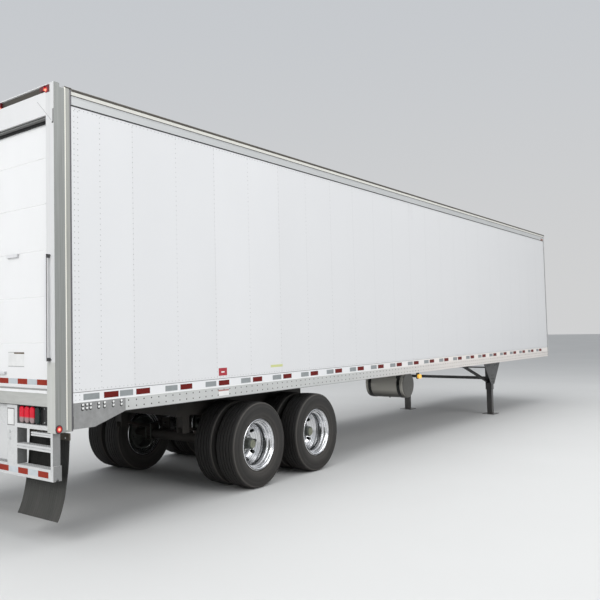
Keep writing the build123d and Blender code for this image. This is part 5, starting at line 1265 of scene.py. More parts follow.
class TRAILER_OT_labels(bpy.types.Operator):
    """Blank labels and plates on the door, the side skins and the struts"""

    bl_idname = "trailer.labels"
    bl_label = "Blank labels"

    def execute(self, context):
        """Each patch stands a little further out than the one it lies on."""
        notice_y, notice_z = (-0.763, -0.504), (1.559, 1.701)
        white = [patch((DOOR_FACE - 0.0009, DOOR_FACE), notice_y, notice_z)]
        brown = [patch((DOOR_FACE - 0.0012, DOOR_FACE), (notice_y[0], -0.600), (1.680, 1.693))]
        bars = ((notice_z[0], 1.566), (1.691, 1.695))
        grey = [patch((DOOR_FACE - 0.0011, DOOR_FACE), notice_y, z) for z in bars]
        dark, red, yellow = [], [], []
        skin = WALL_HIGH[1]
        for side in SIDES:
            red.append(patch(
                (REAR + 2.192, REAR + 2.334), across(skin, skin + 0.0008, side), (1.362, 1.447),
            ))
            white.append(patch(
                (REAR + 2.235, REAR + 2.290), across(skin, skin + 0.0011, side), (1.395, 1.410),
            ))
            yellow.append(patch(
                (REAR + 3.160, REAR + 3.411), across(skin, skin + 0.0006, side), (1.407, 1.437),
            ))
            dark.append(patch((STRUT_FACE - 0.0010, STRUT_FACE), across(0.545, 0.658, side), (1.018, 1.178)))
            white.append(patch(
                (STRUT_FACE - 0.0016, STRUT_FACE), across(0.551, 0.651, side), (1.025, 1.169),
            ))
        # Piece, patches, finish and material slot.
        for name, patches, look, slot in (
            ("blank_labels", white, "blank_label", "door_white"),
            ("label_edges", dark, "label_edge", "under_steel"),
            ("label_lines", grey, "grey_line", "under_steel"),
            ("label_bar", brown, "brown_line", "under_steel"),
            ("red_signs", red, "red_sign", "lamp_red"),
            ("yellow_labels", yellow, "pale_yellow_label", "door_white"),
        ):
            make_piece(name, slab_set(patches), look)
        return {"FINISHED"}


def ribbon(outer, inner, x_low, x_high):
    """A strip along x whose section lies between two lines of (y, z) points: both long faces, both edges
    and both ends, closed."""
    loop = np.concatenate([np.asarray(outer, float), np.asarray(inner, float)[::-1]])
    count = len(loop)
    points = np.concatenate([
        np.concatenate([np.full((count, 1), x), loop], 1)
        for x in (x_low, x_high)
    ])
    cell = np.arange(len(outer) - 1)
    end = np.stack([cell, cell + 1, count - 2 - cell, count - 1 - cell], -1)
    return points, np.concatenate([grid_faces(2, count, wrap_columns=True), end[:, ::-1], end + count])


def roof_height(y):
    """Height of the roof at a distance from its middle line: straight from the crown down to the edge."""
    edge = 4.103
    return ROOF_HIGH[2] - (ROOF_HIGH[2] - edge) * np.abs(y) / ROOF_HIGH[1]


def trim_posts_and_roof_edges():
    """Beads on the posts, bent strips over the roof's edges and seams up the front corners."""
    top, front = TOP_RAIL_HIGH[2], TOP_RAIL_HIGH[0]
    foot, hood_end, strip_end = BOXES["rear_posts"][0][2], REAR + 0.1975, front + 0.09
    bead, seam, edge = [], [], []
    # Sections as (y, z) points: the strip on the top rail, and the lower hood over the post behind it.
    lip = [
        (1.2948, 4.070), (HALF + 0.0008, 4.072), (HALF + 0.0008, 4.0912), (1.2856, 4.1006),
        (1.268, 4.1012),
    ]
    back = [(1.2930, 4.072), (1.2930, 4.073), (1.2935, 4.0885), (1.2836, 4.0985), (1.268, 4.0985)]
    hood = [
        (1.2915, 4.0905), (HALF - 0.0005, 4.0905), (HALF - 0.0005, 4.0995), (1.2915, 4.1025),
        (1.262, 4.1028),
    ]
    under = [(1.2895, 4.0915), (1.2905, 4.0925), (1.2910, 4.0975), (1.2895, 4.1000), (1.262, 4.1002)]
    for side in SIDES:
        bead.append(patch(BEAD_X, across(HALF - 0.0085, HALF - 0.0012, side), (foot + 0.02, TOP - 0.02)))
        for outer, inner, low, high in (
            (lip, back, hood_end, strip_end), (hood, under, REAR + 0.12, hood_end),
        ):
            lines = [[(side * y, z) for y, z in line] for line in (outer, inner)]
            edge.append(ribbon(*lines, low, high))
        seam.append(patch(
            (front, front + 0.004), across(HALF - 0.004, HALF - 0.0005, side), (1.13, top - 0.01),
        ))
    make_piece("post_beads", slab_set(bead), "pale_sealant", round_edges=0.0015)
    make_piece("roof_edge_strips", join(*edge), "edge_strip", 30, outward=True)
    make_piece("corner_seams", slab_set(seam), "seal_rubber")


def trim_header_and_door_foot():
    """The dark strip that carries the header's lamps, and grey lines over it and at the door's foot."""
    reach = BOXES["rear_posts"][1][1] - 0.1172
    strip = [patch((REAR + 0.0105, REAR + 0.0145), (-reach, reach), (4.0455, 4.1065))]
    make_piece("header_strip", slab_set(strip), "edge_strip", round_edges=0.0008)
    line = [patch((REAR + 0.0095, REAR + 0.011), (-reach, reach), (4.1005, 4.1045))]
    line.append(patch((DOOR_FACE - 0.004, DOOR_FACE + 0.001), (-1.1630, 1.1630), (1.3597, 1.3690)))
    make_piece("grey_seals", slab_set(line), "grey_line")


def trim_rear_frame():
    """Mitre welds of the header, reflectors by its end lamps, and a small bolted plate on each post."""
    weld_lines, reflector, plate, bolts = [], [], [], []
    for side in SIDES:
        path = [
            (REAR + 0.0012, side * y, z)
            for y, z in ((1.050, 3.980), (1.1785, 3.8515), (1.259, 3.771))
        ]
        weld_lines.append(round_bar(path, 0.0025, (1, 0, 0), 6))
        reflector.append(patch((REAR - 0.0035, REAR), across(1.1790, 1.2365, side), (4.0340, 4.1040)))
        plate.append(patch((REAR - 0.0012, REAR), across(1.2765, HALF - 0.0003, side), (3.740, 3.870)))
        bolts.append(stamp(bolt_head(0.0060, 0.004), [(REAR - 0.001, side * 1.2780, 3.747)], (-1, 0, 0)))
    make_piece("mitre_welds", join(*weld_lines), "grey_line", 40, outward=True)
    make_piece("end_reflectors", slab_set(reflector), "marker_lens", round_edges=0.001)
    make_piece("post_plates", slab_set(plate), "weathered_gusset")
    make_piece("post_plate_bolts", join(*bolts), "dark_bolts_and_shade", 40)


def add_notch_shades():
    """Painted shade: a dark patch in the notch of each end cap of the guard."""
    middle, end, foot, half = GUARD_LOW[0] + 0.045, GUARD_HIGH[1], GUARD_LOW[2], 0.0135
    x, z = (middle - half, middle + half), (foot + 0.0004, foot + 0.0115)
    # drain holds the dark patches of painted shade in the notches.
    drain = [patch(x, across(end - 0.0055, end - 0.0012, side), z) for side in SIDES]
    make_piece("guard_notch_shades", slab_set(drain), "dark_bolts_and_shade")


class TRAILER_OT_body_trim(bpy.types.Operator):
    """Beads, seams and small plates of the rear frame, the roof's edge strips and painted shade in the
    guard's notches
    """

    bl_idname = "trailer.body_trim"
    bl_label = "Body trim"

    def execute(self, context):
        trim_posts_and_roof_edges()
        trim_header_and_door_foot()
        trim_rear_frame()
        add_notch_shades()
        return {"FINISHED"}


class TRAILER_OT_roof_seams(bpy.types.Operator):
    """Raised seams across the roof, and rivets along its edges"""

    bl_idname = "trailer.roof_seams"
    bl_label = "Roof seams"

    def execute(self, context):
        sizes = context.scene.trailer_sizes
        across_roof, half_width, rise = np.array([0.11, 0.66, 1.22]), 0.012, 0.001
        seams = []
        for start in np.arange(FIRST_SHEET, ROOF_HIGH[0] - 0.1, 2 * sizes.row_pitch):
            for side in SIDES:
                outer = [(side * y, roof_height(y) + rise) for y in across_roof]
                inner = [(side * y, roof_height(y) - rise) for y in across_roof]
                seams.append(ribbon(outer, inner, start - half_width, start + half_width))
        make_piece("roof_seams", join(*seams), "roof_sheet", 30, outward=True)
        edge_row, edge_pitch = 1.205, 0.0762
        along = np.arange(ROOF_LOW[0] + 0.04, ROOF_HIGH[0] - 0.02, edge_pitch)
        rows = [lines_of(along, [side * edge_row], [roof_height(edge_row) - 0.0002]) for side in SIDES]
        shape = stamp(rivet_head(0.006, 0.0020), np.concatenate(rows))
        make_piece("roof_rivets", shape, "bright_metal", 60)
        return {"FINISHED"}


class TRAILER_OT_rear_fittings(bpy.types.Operator):
    """Raised buttons on the steps, and bolts of the struts, grab rails, latch and flap hangers"""

    bl_idname = "trailer.rear_fittings"
    bl_label = "Rear fittings"

    def execute(self, context):
        rear = (-1, 0, 0)
        across_pitch = 0.026
        step_x = np.arange(REAR + 0.016, REAR + 0.075, 0.0185)
        treads = []
        for side in SIDES:
            # Treads: low and high |y|, height of the top face.
            for low, high, z in ((0.722, 1.205, 0.862), (0.940, 1.205, 0.981)):
                treads.append(lines_of(step_x, side * np.arange(low, high, across_pitch), [z]))
        bar_x = np.arange(REAR + 0.018, REAR + 0.085, 0.0205)
        treads.append(lines_of(bar_x, np.arange(-1.235, 1.236, across_pitch), [0.669]))
        shape = stamp(rivet_head(0.0055, 0.0018), np.concatenate(treads))
        make_piece("tread_buttons", shape, "zinc_coated_steel", 60)
        bolt, small = bolt_head(0.0105, 0.0075), bolt_head(0.006, 0.0045)
        rail_feet, hanger_face = (1.190, 1.243), BOXES["flap_hangers"][0][0]
        hanger_y = np.array([0.70, 0.83, 0.95, 1.07, 1.20])
        bolts = [stamp(bolt, lines_of([STRUT_FACE], [side * 0.589], [0.959, 0.897]), rear) for side in SIDES]
        for side in SIDES:
            bolts.append(stamp(small, lines_of([REAR], [side * y for y in rail_feet], [1.632, 2.554]), rear))
        bolts.append(stamp(small, lines_of([DOOR_FACE], [-0.090, 0.090], [1.455, 1.545]), rear))
        bolts += [stamp(small, lines_of([hanger_face], side * hanger_y, [0.925]), rear) for side in SIDES]
        make_piece("rear_bolts", join(*bolts), "bright_metal", 40)
        return {"FINISHED"}


class TRAILER_OT_suspension_fittings(bpy.types.Operator):
    """U-bolts with plates and nuts, spring clips, and clamp rings and pushrods of the brake chambers"""

    bl_idname = "trailer.suspension_fittings"
    bl_label = "Suspension fittings"

    def execute(self, context):
        sizes = context.scene.trailer_sizes
        radius, corner = sizes.ubolt_radius, 0.012
        over, under, half_gap = 0.6405 + radius, 0.418, 0.047
        chamber_y, chamber_z = 0.400, 0.640
        bolts, plates, rings, rods = [], [], [], []
        nut = lathe([(0, 0), (0.0135, 0), (0.0135, 0.012), (0.011, 0.014), (0, 0.014)], 6)
        clamp = ring_loop(
            [(0.0825, -0.008), (0.091, -0.008), (0.093, 0), (0.091, 0.008), (0.0825, 0.008)], 40,
        )
        for axle in AXLES_X:
            for side in SIDES:
                y = side * SPRING_Y
                left, right = y - half_gap, y + half_gap
                # A U-bolt's path from one end up, over the spring and down again.
                path = [(left, under), (left, over - corner), (left + corner, over)]
                path += [(right - corner, over), (right, over - corner), (right, under)]
                for x in (axle - 0.076, axle + 0.076):
                    bolts.append(round_bar([(x, *point) for point in path], radius, (1, 0, 0)))
                    bolts.append(stamp(nut, [(x, left, under + 0.002), (x, right, under + 0.002)]))
                plates.append(patch((axle - 0.096, axle + 0.096), (y - 0.066, y + 0.066), (0.4325, 0.4425)))
                for reach in (-0.30, 0.30):
                    x, z = axle + reach, 0.6165 + LEAF_BOW * (reach / LEAF_REACH) ** 2
                    plates.append(patch(
                        (x - 0.016, x + 0.016), (y - 0.042, y + 0.042), (z - 0.030, z + 0.030),
                    ))
                rings.append(stamp(clamp, [(axle + 0.235, side * chamber_y, chamber_z)], (1, 0, 0)))
                rod = [(axle + reach, side * chamber_y, chamber_z) for reach in (0.128, 0.070)]
                rods.append(round_bar(rod, 0.009, (0, 1, 0)))
        make_piece("spring_ubolts", join(*bolts), "painted_iron", 40, "bogie", outward=True)
        make_piece(
            "spring_plates", slab_set(plates), "spring_leaves", body="bogie",
            round_edges=0.003,
        )
        make_piece(
            "brake_clamps", join(*rings, *rods), "painted_iron", 40, "bogie", outward=True,
        )
        return {"FINISHED"}


def add_leg_bolts():
    """Bolts of the legs' wings and braces, and of the gearbox cover on the left leg."""
    bolt = bolt_head(0.010, 0.0075)
    low, high = BOXES["landing_feet"]
    leg_x = (low[0] + high[0]) / 2
    wing, cover = 1.0215, 1.0835
    wing_x = leg_x + np.array([-0.27, -0.17, 0.17, 0.27])
    bolts = []
    for side in SIDES:
        out = (0, side, 0)
        bolts.append(stamp(bolt, lines_of(wing_x, [side * wing], [1.03, 1.08]), out))
        bolts.append(stamp(
            bolt, lines_of([leg_x - 0.05, leg_x + 0.05], [side * wing], [0.68, 0.75, 0.82]), out,
        ))
    places = lines_of([leg_x - 0.055, leg_x + 0.055], [cover], [0.90, 0.985, 1.07])
    bolts.append(stamp(bolt_head(0.006, 0.004), places, (0, 1, 0)))
    make_piece("leg_bolts", join(*bolts), "painted_iron", 40)


def add_tank_fittings():
    """The filler neck, which leans back, the drain plug below and the strap bolts above."""
    bolt = bolt_head(0.010, 0.0075)
    low, high = BOXES["fuel_tank"]
    x, z, radius = (low[0] + high[0]) / 2, (low[2] + high[2]) / 2, (high[2] - low[2]) / 2
    lean = math.radians(52)
    way = np.array([-math.cos(lean), 0, math.sin(lean)])
    seat = np.array([x, -0.48, z]) + way * (radius - 0.004)
    neck = [
        (0.034, -0.004), (0.034, 0.022), (0.047, 0.022), (0.049, 0.026), (0.049, 0.040), (0.046, 0.043),
    ]
    plug = [(0, 0), (0.016, 0), (0.016, 0.012), (0.013, 0.014), (0, 0.014)]
    parts = [stamp(lathe([*neck, (0, 0.045)], 32), [seat], way)]
    parts.append(stamp(lathe(plug, 6), [(x, -0.485, low[2] - 0.012)]))
    strap_x = [x - radius + 0.03, x + radius - 0.03]
    parts += [stamp(bolt, lines_of(strap_x, [y], [1.1005]), (0, 0, -1)) for y in (-0.760, -0.210)]
    make_piece("tank_fittings", join(*parts), "greased_casting", 40)


class TRAILER_OT_leg_and_tank_fittings(bpy.types.Operator):
    """Bolts of the landing gear, and the filler neck, drain plug and strap bolts of the fuel tank"""

    bl_idname = "trailer.leg_and_tank_fittings"
    bl_label = "Landing gear and tank fittings"

    def execute(self, context):
        add_leg_bolts()
        add_tank_fittings()
        return {"FINISHED"}


class TRAILER_OT_nose_fittings(bpy.types.Operator):
    """Cooling core behind the grille, the grille's gasket, side louvres, and latches of the service doors"""

    bl_idname = "trailer.nose_fittings"
    bl_label = "Nose fittings"

    def execute(self, context):
        low, high = BOXES["unit_grille"]
        house = BOXES["unit_housing"][1]
        inset = 0.01
        y, z = (low[1] + inset, high[1] - inset), (low[2] + inset, high[2] - inset)
        core = [patch((low[0] - 0.060, low[0] - 0.030), y, z)]
        make_piece("cooling_core", slab_set(core), "cooling_fins")
        face, wall = house[0] - 0.024, house[1]
        frames = border((low[1], high[1]), (low[2], high[2]), 0.012)
        trim = [patch((face - 0.001, face + 0.006), y, z) for y, z in frames]
        slat, slat_pitch = 0.026, 0.052
        for side in SIDES:
            for z in np.arange(2.10, 2.62, slat_pitch):
                trim.append(patch((7.20, 7.42), across(wall - 0.001, wall + 0.007, side), (z, z + slat)))
        make_piece("unit_trim", slab_set(trim), "grille_plastic", round_edges=0.002)
        base = slabs([(0, -0.022, -0.050)], [(0.005, 0.022, 0.050)])
        points, faces = join(base, slabs([(0.004, -0.012, -0.040)], [(0.014, 0.012, 0.010)]))
        for label, side in NAMED_SIDES:
            for number, z in enumerate((2.02, 2.70), 1):
                placed = (points + (face, side * 0.058, z), faces)
                name, body = f"door_latch_{label}_{number}", f"service_door_{label}"
                make_piece(name, placed, "lamp_box_plastic", body=body, round_edges=0.0015)
        return {"FINISHED"}


def tyre_profile(sizes):
    """A tyre's section: the sidewall as (radius, distance from the middle) from the bead out over its rings
    to the shoulder, and the tread as (place across, depth) from one shoulder to the other with its six
    grooves."""
    wall = np.array([
        (286, 100), (292, 107), (300, 110), (307, 112), (311, 119), (316, 122), (320, 121), (323, 123.5),
        (337, 131), (352, 138), (356, 140), (359, 139), (380, 143.5), (402, 145), (425, 143.6), (441, 140.6),
        (445, 141.4), (449, 139.4), (465, 135), (478, 131.5), (481, 132.6), (486, 131.6), (491, 128),
        (497, 122), (501.5, 116.5),
    ]) * MM
    wide, slit, lip = (sizes.groove_width, sizes.groove_depth), (0.004, 0.008), 0.0015
    grooves = [
        (side * place, *size) for side in (-1, 1)
        for place, size in ((0.098, slit), (0.066, wide), (0.022, wide))
    ]
    edges = []
    for centre, width, depth in grooves:
        for side in (-1, 1):
            edges += [(centre + side * (width / 2 + lip), 0), (centre + side * width / 2, lip)]
            edges.append((centre + side * width / 4, depth))
    middles = [(y, 0) for y in (-TREAD_HALF, -0.106, -0.082, -0.044, 0.0, 0.044, 0.082, 0.106, TREAD_HALF)]
    return wall, np.array(sorted(edges + middles))


def tyre_shape(sizes, x, y, z, radius):
    """A closed ring: the section is carried round the axle, and the grooves swing from side to side in a
    small three-cornered wave that repeats forty times round. Also gives each point's groove depth and
    the strength of the painted highlight on its sidewall."""
    wall, tread = tyre_profile(sizes)
    waves, swing_width, crown_drop = 40, 0.0022, 0.0042
    crown = crown_drop * (tread[:, 0] / TREAD_HALF) ** 2
    tread_line = np.stack([radius - crown - tread[:, 1], tread[:, 0]], -1)
    left = np.stack([wall[:, 0], -wall[:, 1]], -1)
    right = wall[::-1]
    inside = np.array([(0.292, 0.09), (0.3, 0.0), (0.292, -0.09)])
    profile = np.concatenate([left, tread_line, right, inside])
    before, after = np.zeros(len(left)), np.zeros(len(right) + len(inside))
    depth = np.concatenate([before, tread[:, 1] / sizes.groove_depth, after])
    swing = np.concatenate([before, (np.abs(tread[:, 0]) < 0.09) * swing_width, after])
    # Painted highlights: how light the sidewall is painted at some radii, lightest on the shoulder.
    rings = (0.286, 0.300, 0.311, 0.323, 0.337, 0.356, 0.380, 0.425, 0.445, 0.478, 0.486, 0.491, 0.497)
    highlight_levels = (0.5, 0.2, 0.5, 0.75, 0.35, 0.5, 0.25, 0.08, 0.22, 0.12, 0.95, 0.95, 0.15)
    sidewall_highlight = np.interp(profile[:, 0], rings, highlight_levels) * (np.abs(profile[:, 1]) > TREAD_HALF)
    angle = np.arange(sizes.tyre_steps) * 2 * np.pi / sizes.tyre_steps
    wave = np.abs((angle * waves / (2 * np.pi)) % 1 * 2 - 1) * 2 - 1
    across_y = profile[:, 1:] + swing[:, None] * wave
    points = np.stack(
        [x + profile[:, :1] * np.cos(angle), y + across_y, z + profile[:, :1] * np.sin(angle)], -1,
    )
    faces = grid_faces(len(profile), len(angle), wrap_rows=True, wrap_columns=True)
    return (points.reshape(-1, 3), faces), np.repeat(depth, len(angle)), np.repeat(sidewall_highlight, len(angle))


def wheel_centre(corner):
    """The axle's place and the middle of the two tyres of a wheel pair, and its side."""
    low, high = BOXES[f"tyres_{corner}"]
    side = 1 if corner.endswith("left") else -1
    return (low[0] + high[0]) / 2, (low[1] + high[1]) / 2, (low[2] + high[2]) / 2, side


class TRAILER_OT_tyres(bpy.types.Operator):
    """Tyres with ribbed treads, sidewall rings and shoulders"""

    bl_idname = "trailer.tyres"
    bl_label = "Tyres"

    def execute(self, context):
        sizes = context.scene.trailer_sizes
        for corner in CORNERS:
            x, y, z, _ = wheel_centre(corner)
            low, high = BOXES[f"tyres_{corner}"]
            radius = (high[2] - low[2]) / 2
            offset = (high[1] - low[1]) / 2 - TYRE_HALF
            made = [tyre_shape(sizes, x, y + way * offset, z, radius) for way in (-1, 1)]
            shapes, grooves, sidewall_highlights = zip(*made)
            marks = (("groove", np.concatenate(grooves)), ("shoulder", np.concatenate(sidewall_highlights)))
            body = f"wheel_pair_{corner}"
            piece = make_piece(
                f"tyre_pair_{corner}", join(*shapes), "tyre_rubber", 28, body, outward=True,
                attributes=marks,
            )
            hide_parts(f"tyres_{corner}")
        return {"FINISHED"}


def rim_shape(sides):
    """The rim's closed section, in (radius, y) about its middle, carried round the axle. Each line of
    points is for one half, from the edge to the middle, and the other half is its mirror image."""
    half = RIM_HALF
    outer = np.array([
        (0.2955, half), (0.3015, half - 0.003), (0.3018, half - 0.009), (0.2965, half - 0.0125),
        (0.2865, half - 0.014), (0.2845, half - 0.018), (0.2845, half - 0.04), (0.277, half - 0.06),
        (0.262, half - 0.085), (0.258, 0.012),
    ])
    inner = np.array([
        (0.244, 0.012), (0.2455, half - 0.080), (0.249, half - 0.072), (0.2605, half - 0.067),
        (0.264, half - 0.060), (0.2655, half - 0.034), (0.2725, half - 0.030), (0.2745, half - 0.026),
        (0.2765, half - 0.012), (0.281, half - 0.005), (0.287, half - 0.001),
    ])
    loop = np.concatenate([outer, outer[::-1] * (1, -1), inner * (1, -1), inner[::-1]])
    return ring_loop(loop[::-1], sides)


def disc_front(radius):
    """Height of the disc's outer face above the mounting plane: flat, then a smooth rising bowl."""
    start, end, flat, rise = 0.186, 0.264, 0.022, 0.086
    share = np.clip((radius - start) / (end - start), 0, 1)
    return flat + rise * (share**BOWL_CURVE)


def disc_back(radius):
    """Height of the disc's inner face: on the mounting plane at the hub, then a smooth rising bowl."""
    start, end, rise = 0.192, 0.266, 0.068
    share = np.clip((radius - start) / (end - start), 0, 1)
    return rise * (share**BOWL_CURVE)


def disc_shape(hole_radius, holes=10, steps=8):
    """A dished disc with round hand holes. Round each hole, points run from the hole's edge out to the four
    sides of its own sector, over the outer face and back over the inner one, and plain rings fill the
    rest."""
    inner, outer, centre = 0.181, 0.245, 0.213
    half_turn = math.pi / holes
    side_steps = 5
    low = np.stack([np.linspace(-1, 1, steps, endpoint=False), np.full(steps, -1.0)], -1)
    right = np.stack([np.ones(side_steps), np.linspace(-1, 1, side_steps, endpoint=False)], -1)
    frame_points = np.concatenate([low, right, -low, -right])
    turn, radius = frame_points[:, 0] * half_turn, centre + frame_points[:, 1] * (outer - inner) / 2
    away = np.stack([turn * centre, radius - centre], -1)
    rim = away / np.linalg.norm(away, axis=1, keepdims=True) * hole_radius
    hole_turn, hole_out = rim[:, 0] / centre, centre + rim[:, 1]
    share = np.array([1, 0.6, 0.25, 0.0])[:, None]
    turns = hole_turn + (turn - hole_turn) * share
    outs = hole_out + (radius - hole_out) * share
    rows_turn = np.concatenate([turns, turns[::-1]])
    rows_out = np.concatenate([outs, outs[::-1]])
    rows_y = np.concatenate([disc_front(outs), disc_back(outs[::-1])])
    parts = []
    for number in range(holes):
        angle = rows_turn + number * 2 * half_turn
        points = np.stack([rows_out * np.cos(angle), rows_out * np.sin(angle), rows_y], -1)
        parts.append((
            points.reshape(-1, 3), grid_faces(len(rows_turn), len(frame_points), wrap_columns=True),
        ))
    sides = holes * steps
    flat = np.array([0.111, 0.125, 0.150, 0.170, inner])
    wide = np.array([outer, 0.252, 0.258, 0.264])
    lip = (0.2665, disc_front(0.264) - 0.006)
    back = [(r, disc_back(r)) for r in wide[::-1]]
    rings = (
        [(0.111, disc_back(0.111))] + [(r, disc_front(r)) for r in flat],
        [(r, disc_back(r)) for r in flat[::-1]],
        [(r, disc_front(r)) for r in wide] + [lip],
        [lip, (0.266, disc_back(0.266))] + back,
    )
    return weld(join(*parts, *(lathe(ring, sides, -half_turn) for ring in rings)))


def onto_axle(shape, x, y, z, side):
    """A shape made about the z axis, moved to an axle with its z axis pointing to the given side."""
    return stamp(shape, [(x, y, z)], (0, side, 0))


def circle_of(radius, x, y, z, turns):
    """Points on an upright circle about an axle: x with the cosine of each turn, z with its sine."""
    return np.stack([x + radius * np.cos(turns), np.full(len(turns), y), z + radius * np.sin(turns)], -1)


def add_nuts_and_cap(corner, body, x, y, z, side, nuts):
    """The nuts with their studs, the hub cap's flange, collar, plug and bolts, and the valve stem."""
    out = (0, side, 0)
    nut = join(
        lathe([(0.021, 0), (0.021, 0.004), (0.0185, 0.006)], 16),
        lathe([(0.0178, 0.005), (0.0178, 0.026), (0.0155, 0.029), (0.011, 0.029)], 6),
        lathe([(0.011, 0.02), (0.011, 0.042), (0.0095, 0.044), (0, 0.044)], 12),
    )
    turns = (np.arange(nuts) + 0.5) * 2 * np.pi / nuts
    nut_places = circle_of(NUT_CIRCLE, x, y + side * NUT_SEAT, z, turns)
    make_piece(
        f"wheel_nuts_{corner}", stamp(nut, nut_places, out), "bright_metal", 30, body,
    )
    hub_out = BOXES[f"hub_{corner}"][1 if side > 0 else 0][1]
    flange = ring_loop([(0.0955, 0), (0.0955, 0.009), (0.0925, 0.012), (0.0640, 0.012), (0.0640, 0)], 40)
    rise = [
        (0, -0.004), (0.0500, -0.004), (0.0500, 0.0020), (0.0480, 0.0032), (0.0400, 0.0032),
        (0.0385, 0.0008),
    ]
    collar = lathe([*rise, (0, 0.0008)], 40)
    plug = lathe([(0.0110, 0), (0.0110, 0.0026), (0.0095, 0.0034), (0, 0.0034)], 24)
    cap_bolt = lathe([(0.007, 0), (0.007, 0.005), (0.005, 0.006), (0, 0.006)], 6)
    cap = [onto_axle(flange, x, y + side * FLANGE_SEAT, z, side), onto_axle(collar, x, hub_out, z, side)]
    cap.append(onto_axle(plug, x, hub_out, z, side))
    turns = np.arange(6) * 2 * np.pi / 6
    bolt_places = circle_of(CAP_CIRCLE, x, y + side * CAP_BOLT_SEAT, z, turns)
    cap.append(stamp(cap_bolt, bolt_places, out))
    make_piece(f"hub_cap_{corner}", join(*cap), "hub_cap_metal", 35, body, outward=True)
    stem = lathe([(0.005, 0), (0.005, 0.03), (0.004, 0.045), (0, 0.046)], 10)
    valve = stamp(stem, [(x + 0.262, y + side * 0.125, z)], (-0.25, side, 0))
    make_piece(f"valve_stem_{corner}", valve, "bright_metal", 35, body)


class TRAILER_OT_wheels(bpy.types.Operator):
    """Polished disc wheels with hand holes, their nuts, hub caps and valve stems"""

    bl_idname = "trailer.wheels"
    bl_label = "Wheels"

    def execute(self, context):
        sizes = context.scene.trailer_sizes
        rim, disc = rim_shape(96), disc_shape(sizes.hand_hole_radius)
        for corner in CORNERS:
            x, y, z, side = wheel_centre(corner)
            low, high = BOXES[f"wheels_{corner}"]
            offset = (high[1] - low[1]) / 2 - RIM_HALF
            parts = []
            for way in (-1, 1):
                parts.append(onto_axle(rim, x, y + side * way * offset, z, side))
                parts.append(onto_axle(disc, x, y, z, side * way))
            shape = join(*parts)
            marks = (("radius", np.hypot(shape[0][:, 0] - x, shape[0][:, 2] - z)),)
            body = f"wheel_pair_{corner}"
            piece = make_piece(
                f"wheel_discs_{corner}", shape, "polished_forging", 32, body,
                outward=True, attributes=marks,
            )
            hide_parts(f"wheels_{corner}")
            add_nuts_and_cap(corner, body, x, y, z, side, sizes.nut_count)
        return {"FINISHED"}


def place_lights(scene, studio):
    """A sky that is pale at the horizon, with one darker stretch low on the right that only the
    polished metal mirrors, and three broad lamps."""
    world = bpy.data.worlds.new("studio_light")
    scene.world = world
    world.use_nodes = True
    tree = world.node_tree
    way = add(tree, "SeparateXYZ", {0: add(tree, "TexCoord").outputs["Generated"]}).outputs
    climb = remap(tree, way["Z"], 0.0, 0.5, smooth=True)
    sky = mix(tree, climb, (0.88, 0.885, 0.89, 1), (0.78, 0.81, 0.85, 1))
    low = remap(tree, way["Z"], 0.16, 0.02, smooth=True)
    aside = remap(tree, way["Y"], -0.35, -0.75, smooth=True)
    mirrored = minus(tree, 1.0, add(tree, "LightPath").outputs["Is Camera Ray"])
    dark = times(tree, times(tree, low, aside), mirrored)
    sky = mix(tree, dark, sky, (0.34, 0.36, 0.35, 1))
    tree.links.new(sky, tree.nodes["Background"].inputs["Color"])
    tree.nodes["Background"].inputs["Strength"].default_value = studio.sky_strength
    for name, place, aim, size, power in (
        ("key_light", (-18, -2, 9), (-7, 0, 2), 8, 1150),
        ("side_light", (-4, -20, 12), (0, 0, 2), 14, 2600),
        ("top_light", (0, 0, 16), (0, 0, 0), 18, 2500),
    ):
        data = bpy.data.lights.new(name, "AREA")
        data.size = size
        data.energy = power * studio.lamp_strength
        light = bpy.data.objects.new(name, data)
        scene.collection.objects.link(light)
        rows = facing(np.array(place, float) - np.array(aim, float))
        light.matrix_world = Matrix([[*rows[:, k], place[k]] for k in range(3)] + [[0, 0, 0, 1]])


def place_camera(scene, studio):
    """A camera from its place and its three turns: ahead, then level to the right, then rolled about
    the view line."""
    data = bpy.data.cameras.new("photo_camera")
    data.lens = studio.camera_lens
    data.shift_x, data.shift_y = studio.shift_x, studio.shift_y
    data.clip_end = 500
    camera = bpy.data.objects.new("photo_camera", data)
    scene.collection.objects.link(camera)
    yaw, pitch, roll = studio.camera_yaw, studio.camera_pitch, studio.camera_roll
    ahead = np.array([math.cos(pitch) * math.cos(yaw), math.cos(pitch) * math.sin(yaw), math.sin(pitch)])
    level = np.array([math.sin(yaw), -math.cos(yaw), 0])
    up = np.cross(level, ahead)
    right = math.cos(roll) * level + math.sin(roll) * up
    above = math.cos(roll) * up - math.sin(roll) * level
    rows = [[right[k], above[k], -ahead[k], studio.camera_place[k]] for k in range(3)]
    camera.matrix_world = Matrix(rows + [[0, 0, 0, 1]])
    scene.camera = camera


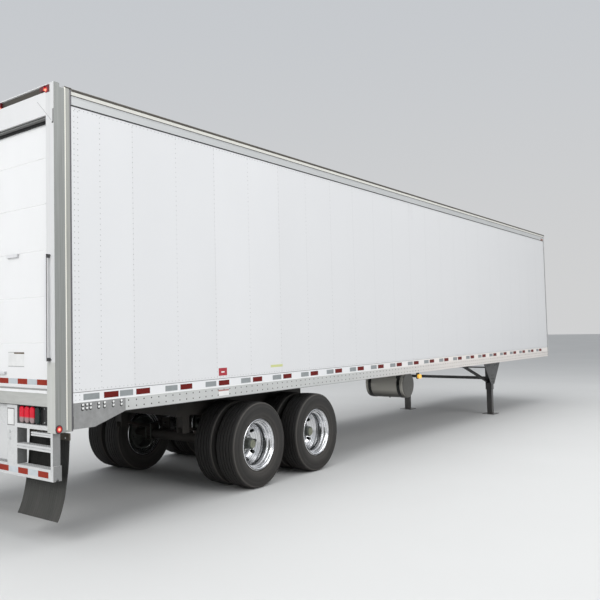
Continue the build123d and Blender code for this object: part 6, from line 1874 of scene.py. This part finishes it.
class TRAILER_OT_stage(bpy.types.Operator):
    """Floor, light and camera"""

    bl_idname = "trailer.stage"
    bl_label = "Stage"

    def execute(self, context):
        studio = context.scene.trailer_studio
        scene = context.scene
        shape = slabs([(-150, -150, -0.05)], [(150, 150, 0)])
        mesh = bpy.data.meshes.new("studio_floor")
        mesh.from_pydata(shape[0].tolist(), [], shape[1].tolist())
        floor = bpy.data.objects.new("studio_floor", mesh)
        scene.collection.objects.link(floor)
        finish("studio_floor", studio.floor, 0.97, (0.7, 0.8), patches=0.2, depth=0.0001)
        mesh.materials.append(FINISH["studio_floor"])
        place_lights(scene, studio)
        place_camera(scene, studio)
        scene.view_settings.view_transform = "Standard"
        return {"FINISHED"}


class TRAILER_PT_panel(bpy.types.Panel):
    """The trailer's operators and settings"""

    bl_label = "Van Semi Trailer"
    bl_space_type = "VIEW_3D"
    bl_region_type = "UI"
    bl_category = "Trailer"

    def draw(self, context):
        column = self.layout.column()
        for operator in OPERATORS:
            column.operator(operator.bl_idname)
        for owner in (
            context.scene.trailer_sizes, context.scene.trailer_colours, context.scene.trailer_studio,
        ):
            for label in owner.__annotations__:
                column.prop(owner, label)


OPERATORS = (
    TRAILER_OT_finishes,
    TRAILER_OT_cad_finishes,
    TRAILER_OT_skin_rivets,
    TRAILER_OT_rail_rivets,
    TRAILER_OT_reflecting_tape,
    TRAILER_OT_lamps,
    TRAILER_OT_labels,
    TRAILER_OT_body_trim,
    TRAILER_OT_roof_seams,
    TRAILER_OT_rear_fittings,
    TRAILER_OT_suspension_fittings,
    TRAILER_OT_leg_and_tank_fittings,
    TRAILER_OT_nose_fittings,
    TRAILER_OT_tyres,
    TRAILER_OT_wheels,
    TRAILER_OT_stage,
)
SETTINGS = {"trailer_sizes": TrailerSizes, "trailer_colours": TrailerColours, "trailer_studio": StudioLook}


def register():
    for kind in (*SETTINGS.values(), *OPERATORS, TRAILER_PT_panel):
        bpy.utils.register_class(kind)
    for label, kind in SETTINGS.items():
        setattr(bpy.types.Scene, label, PointerProperty(type=kind))


def unregister():
    for label in SETTINGS:
        delattr(bpy.types.Scene, label)
    for kind in reversed((*SETTINGS.values(), *OPERATORS, TRAILER_PT_panel)):
        bpy.utils.unregister_class(kind)


def main():
    """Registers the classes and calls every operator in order."""
    register()
    for operator in OPERATORS:
        space, name = operator.bl_idname.split(".")
        getattr(getattr(bpy.ops, space), name)()


if __name__ == "__main__":
    main()
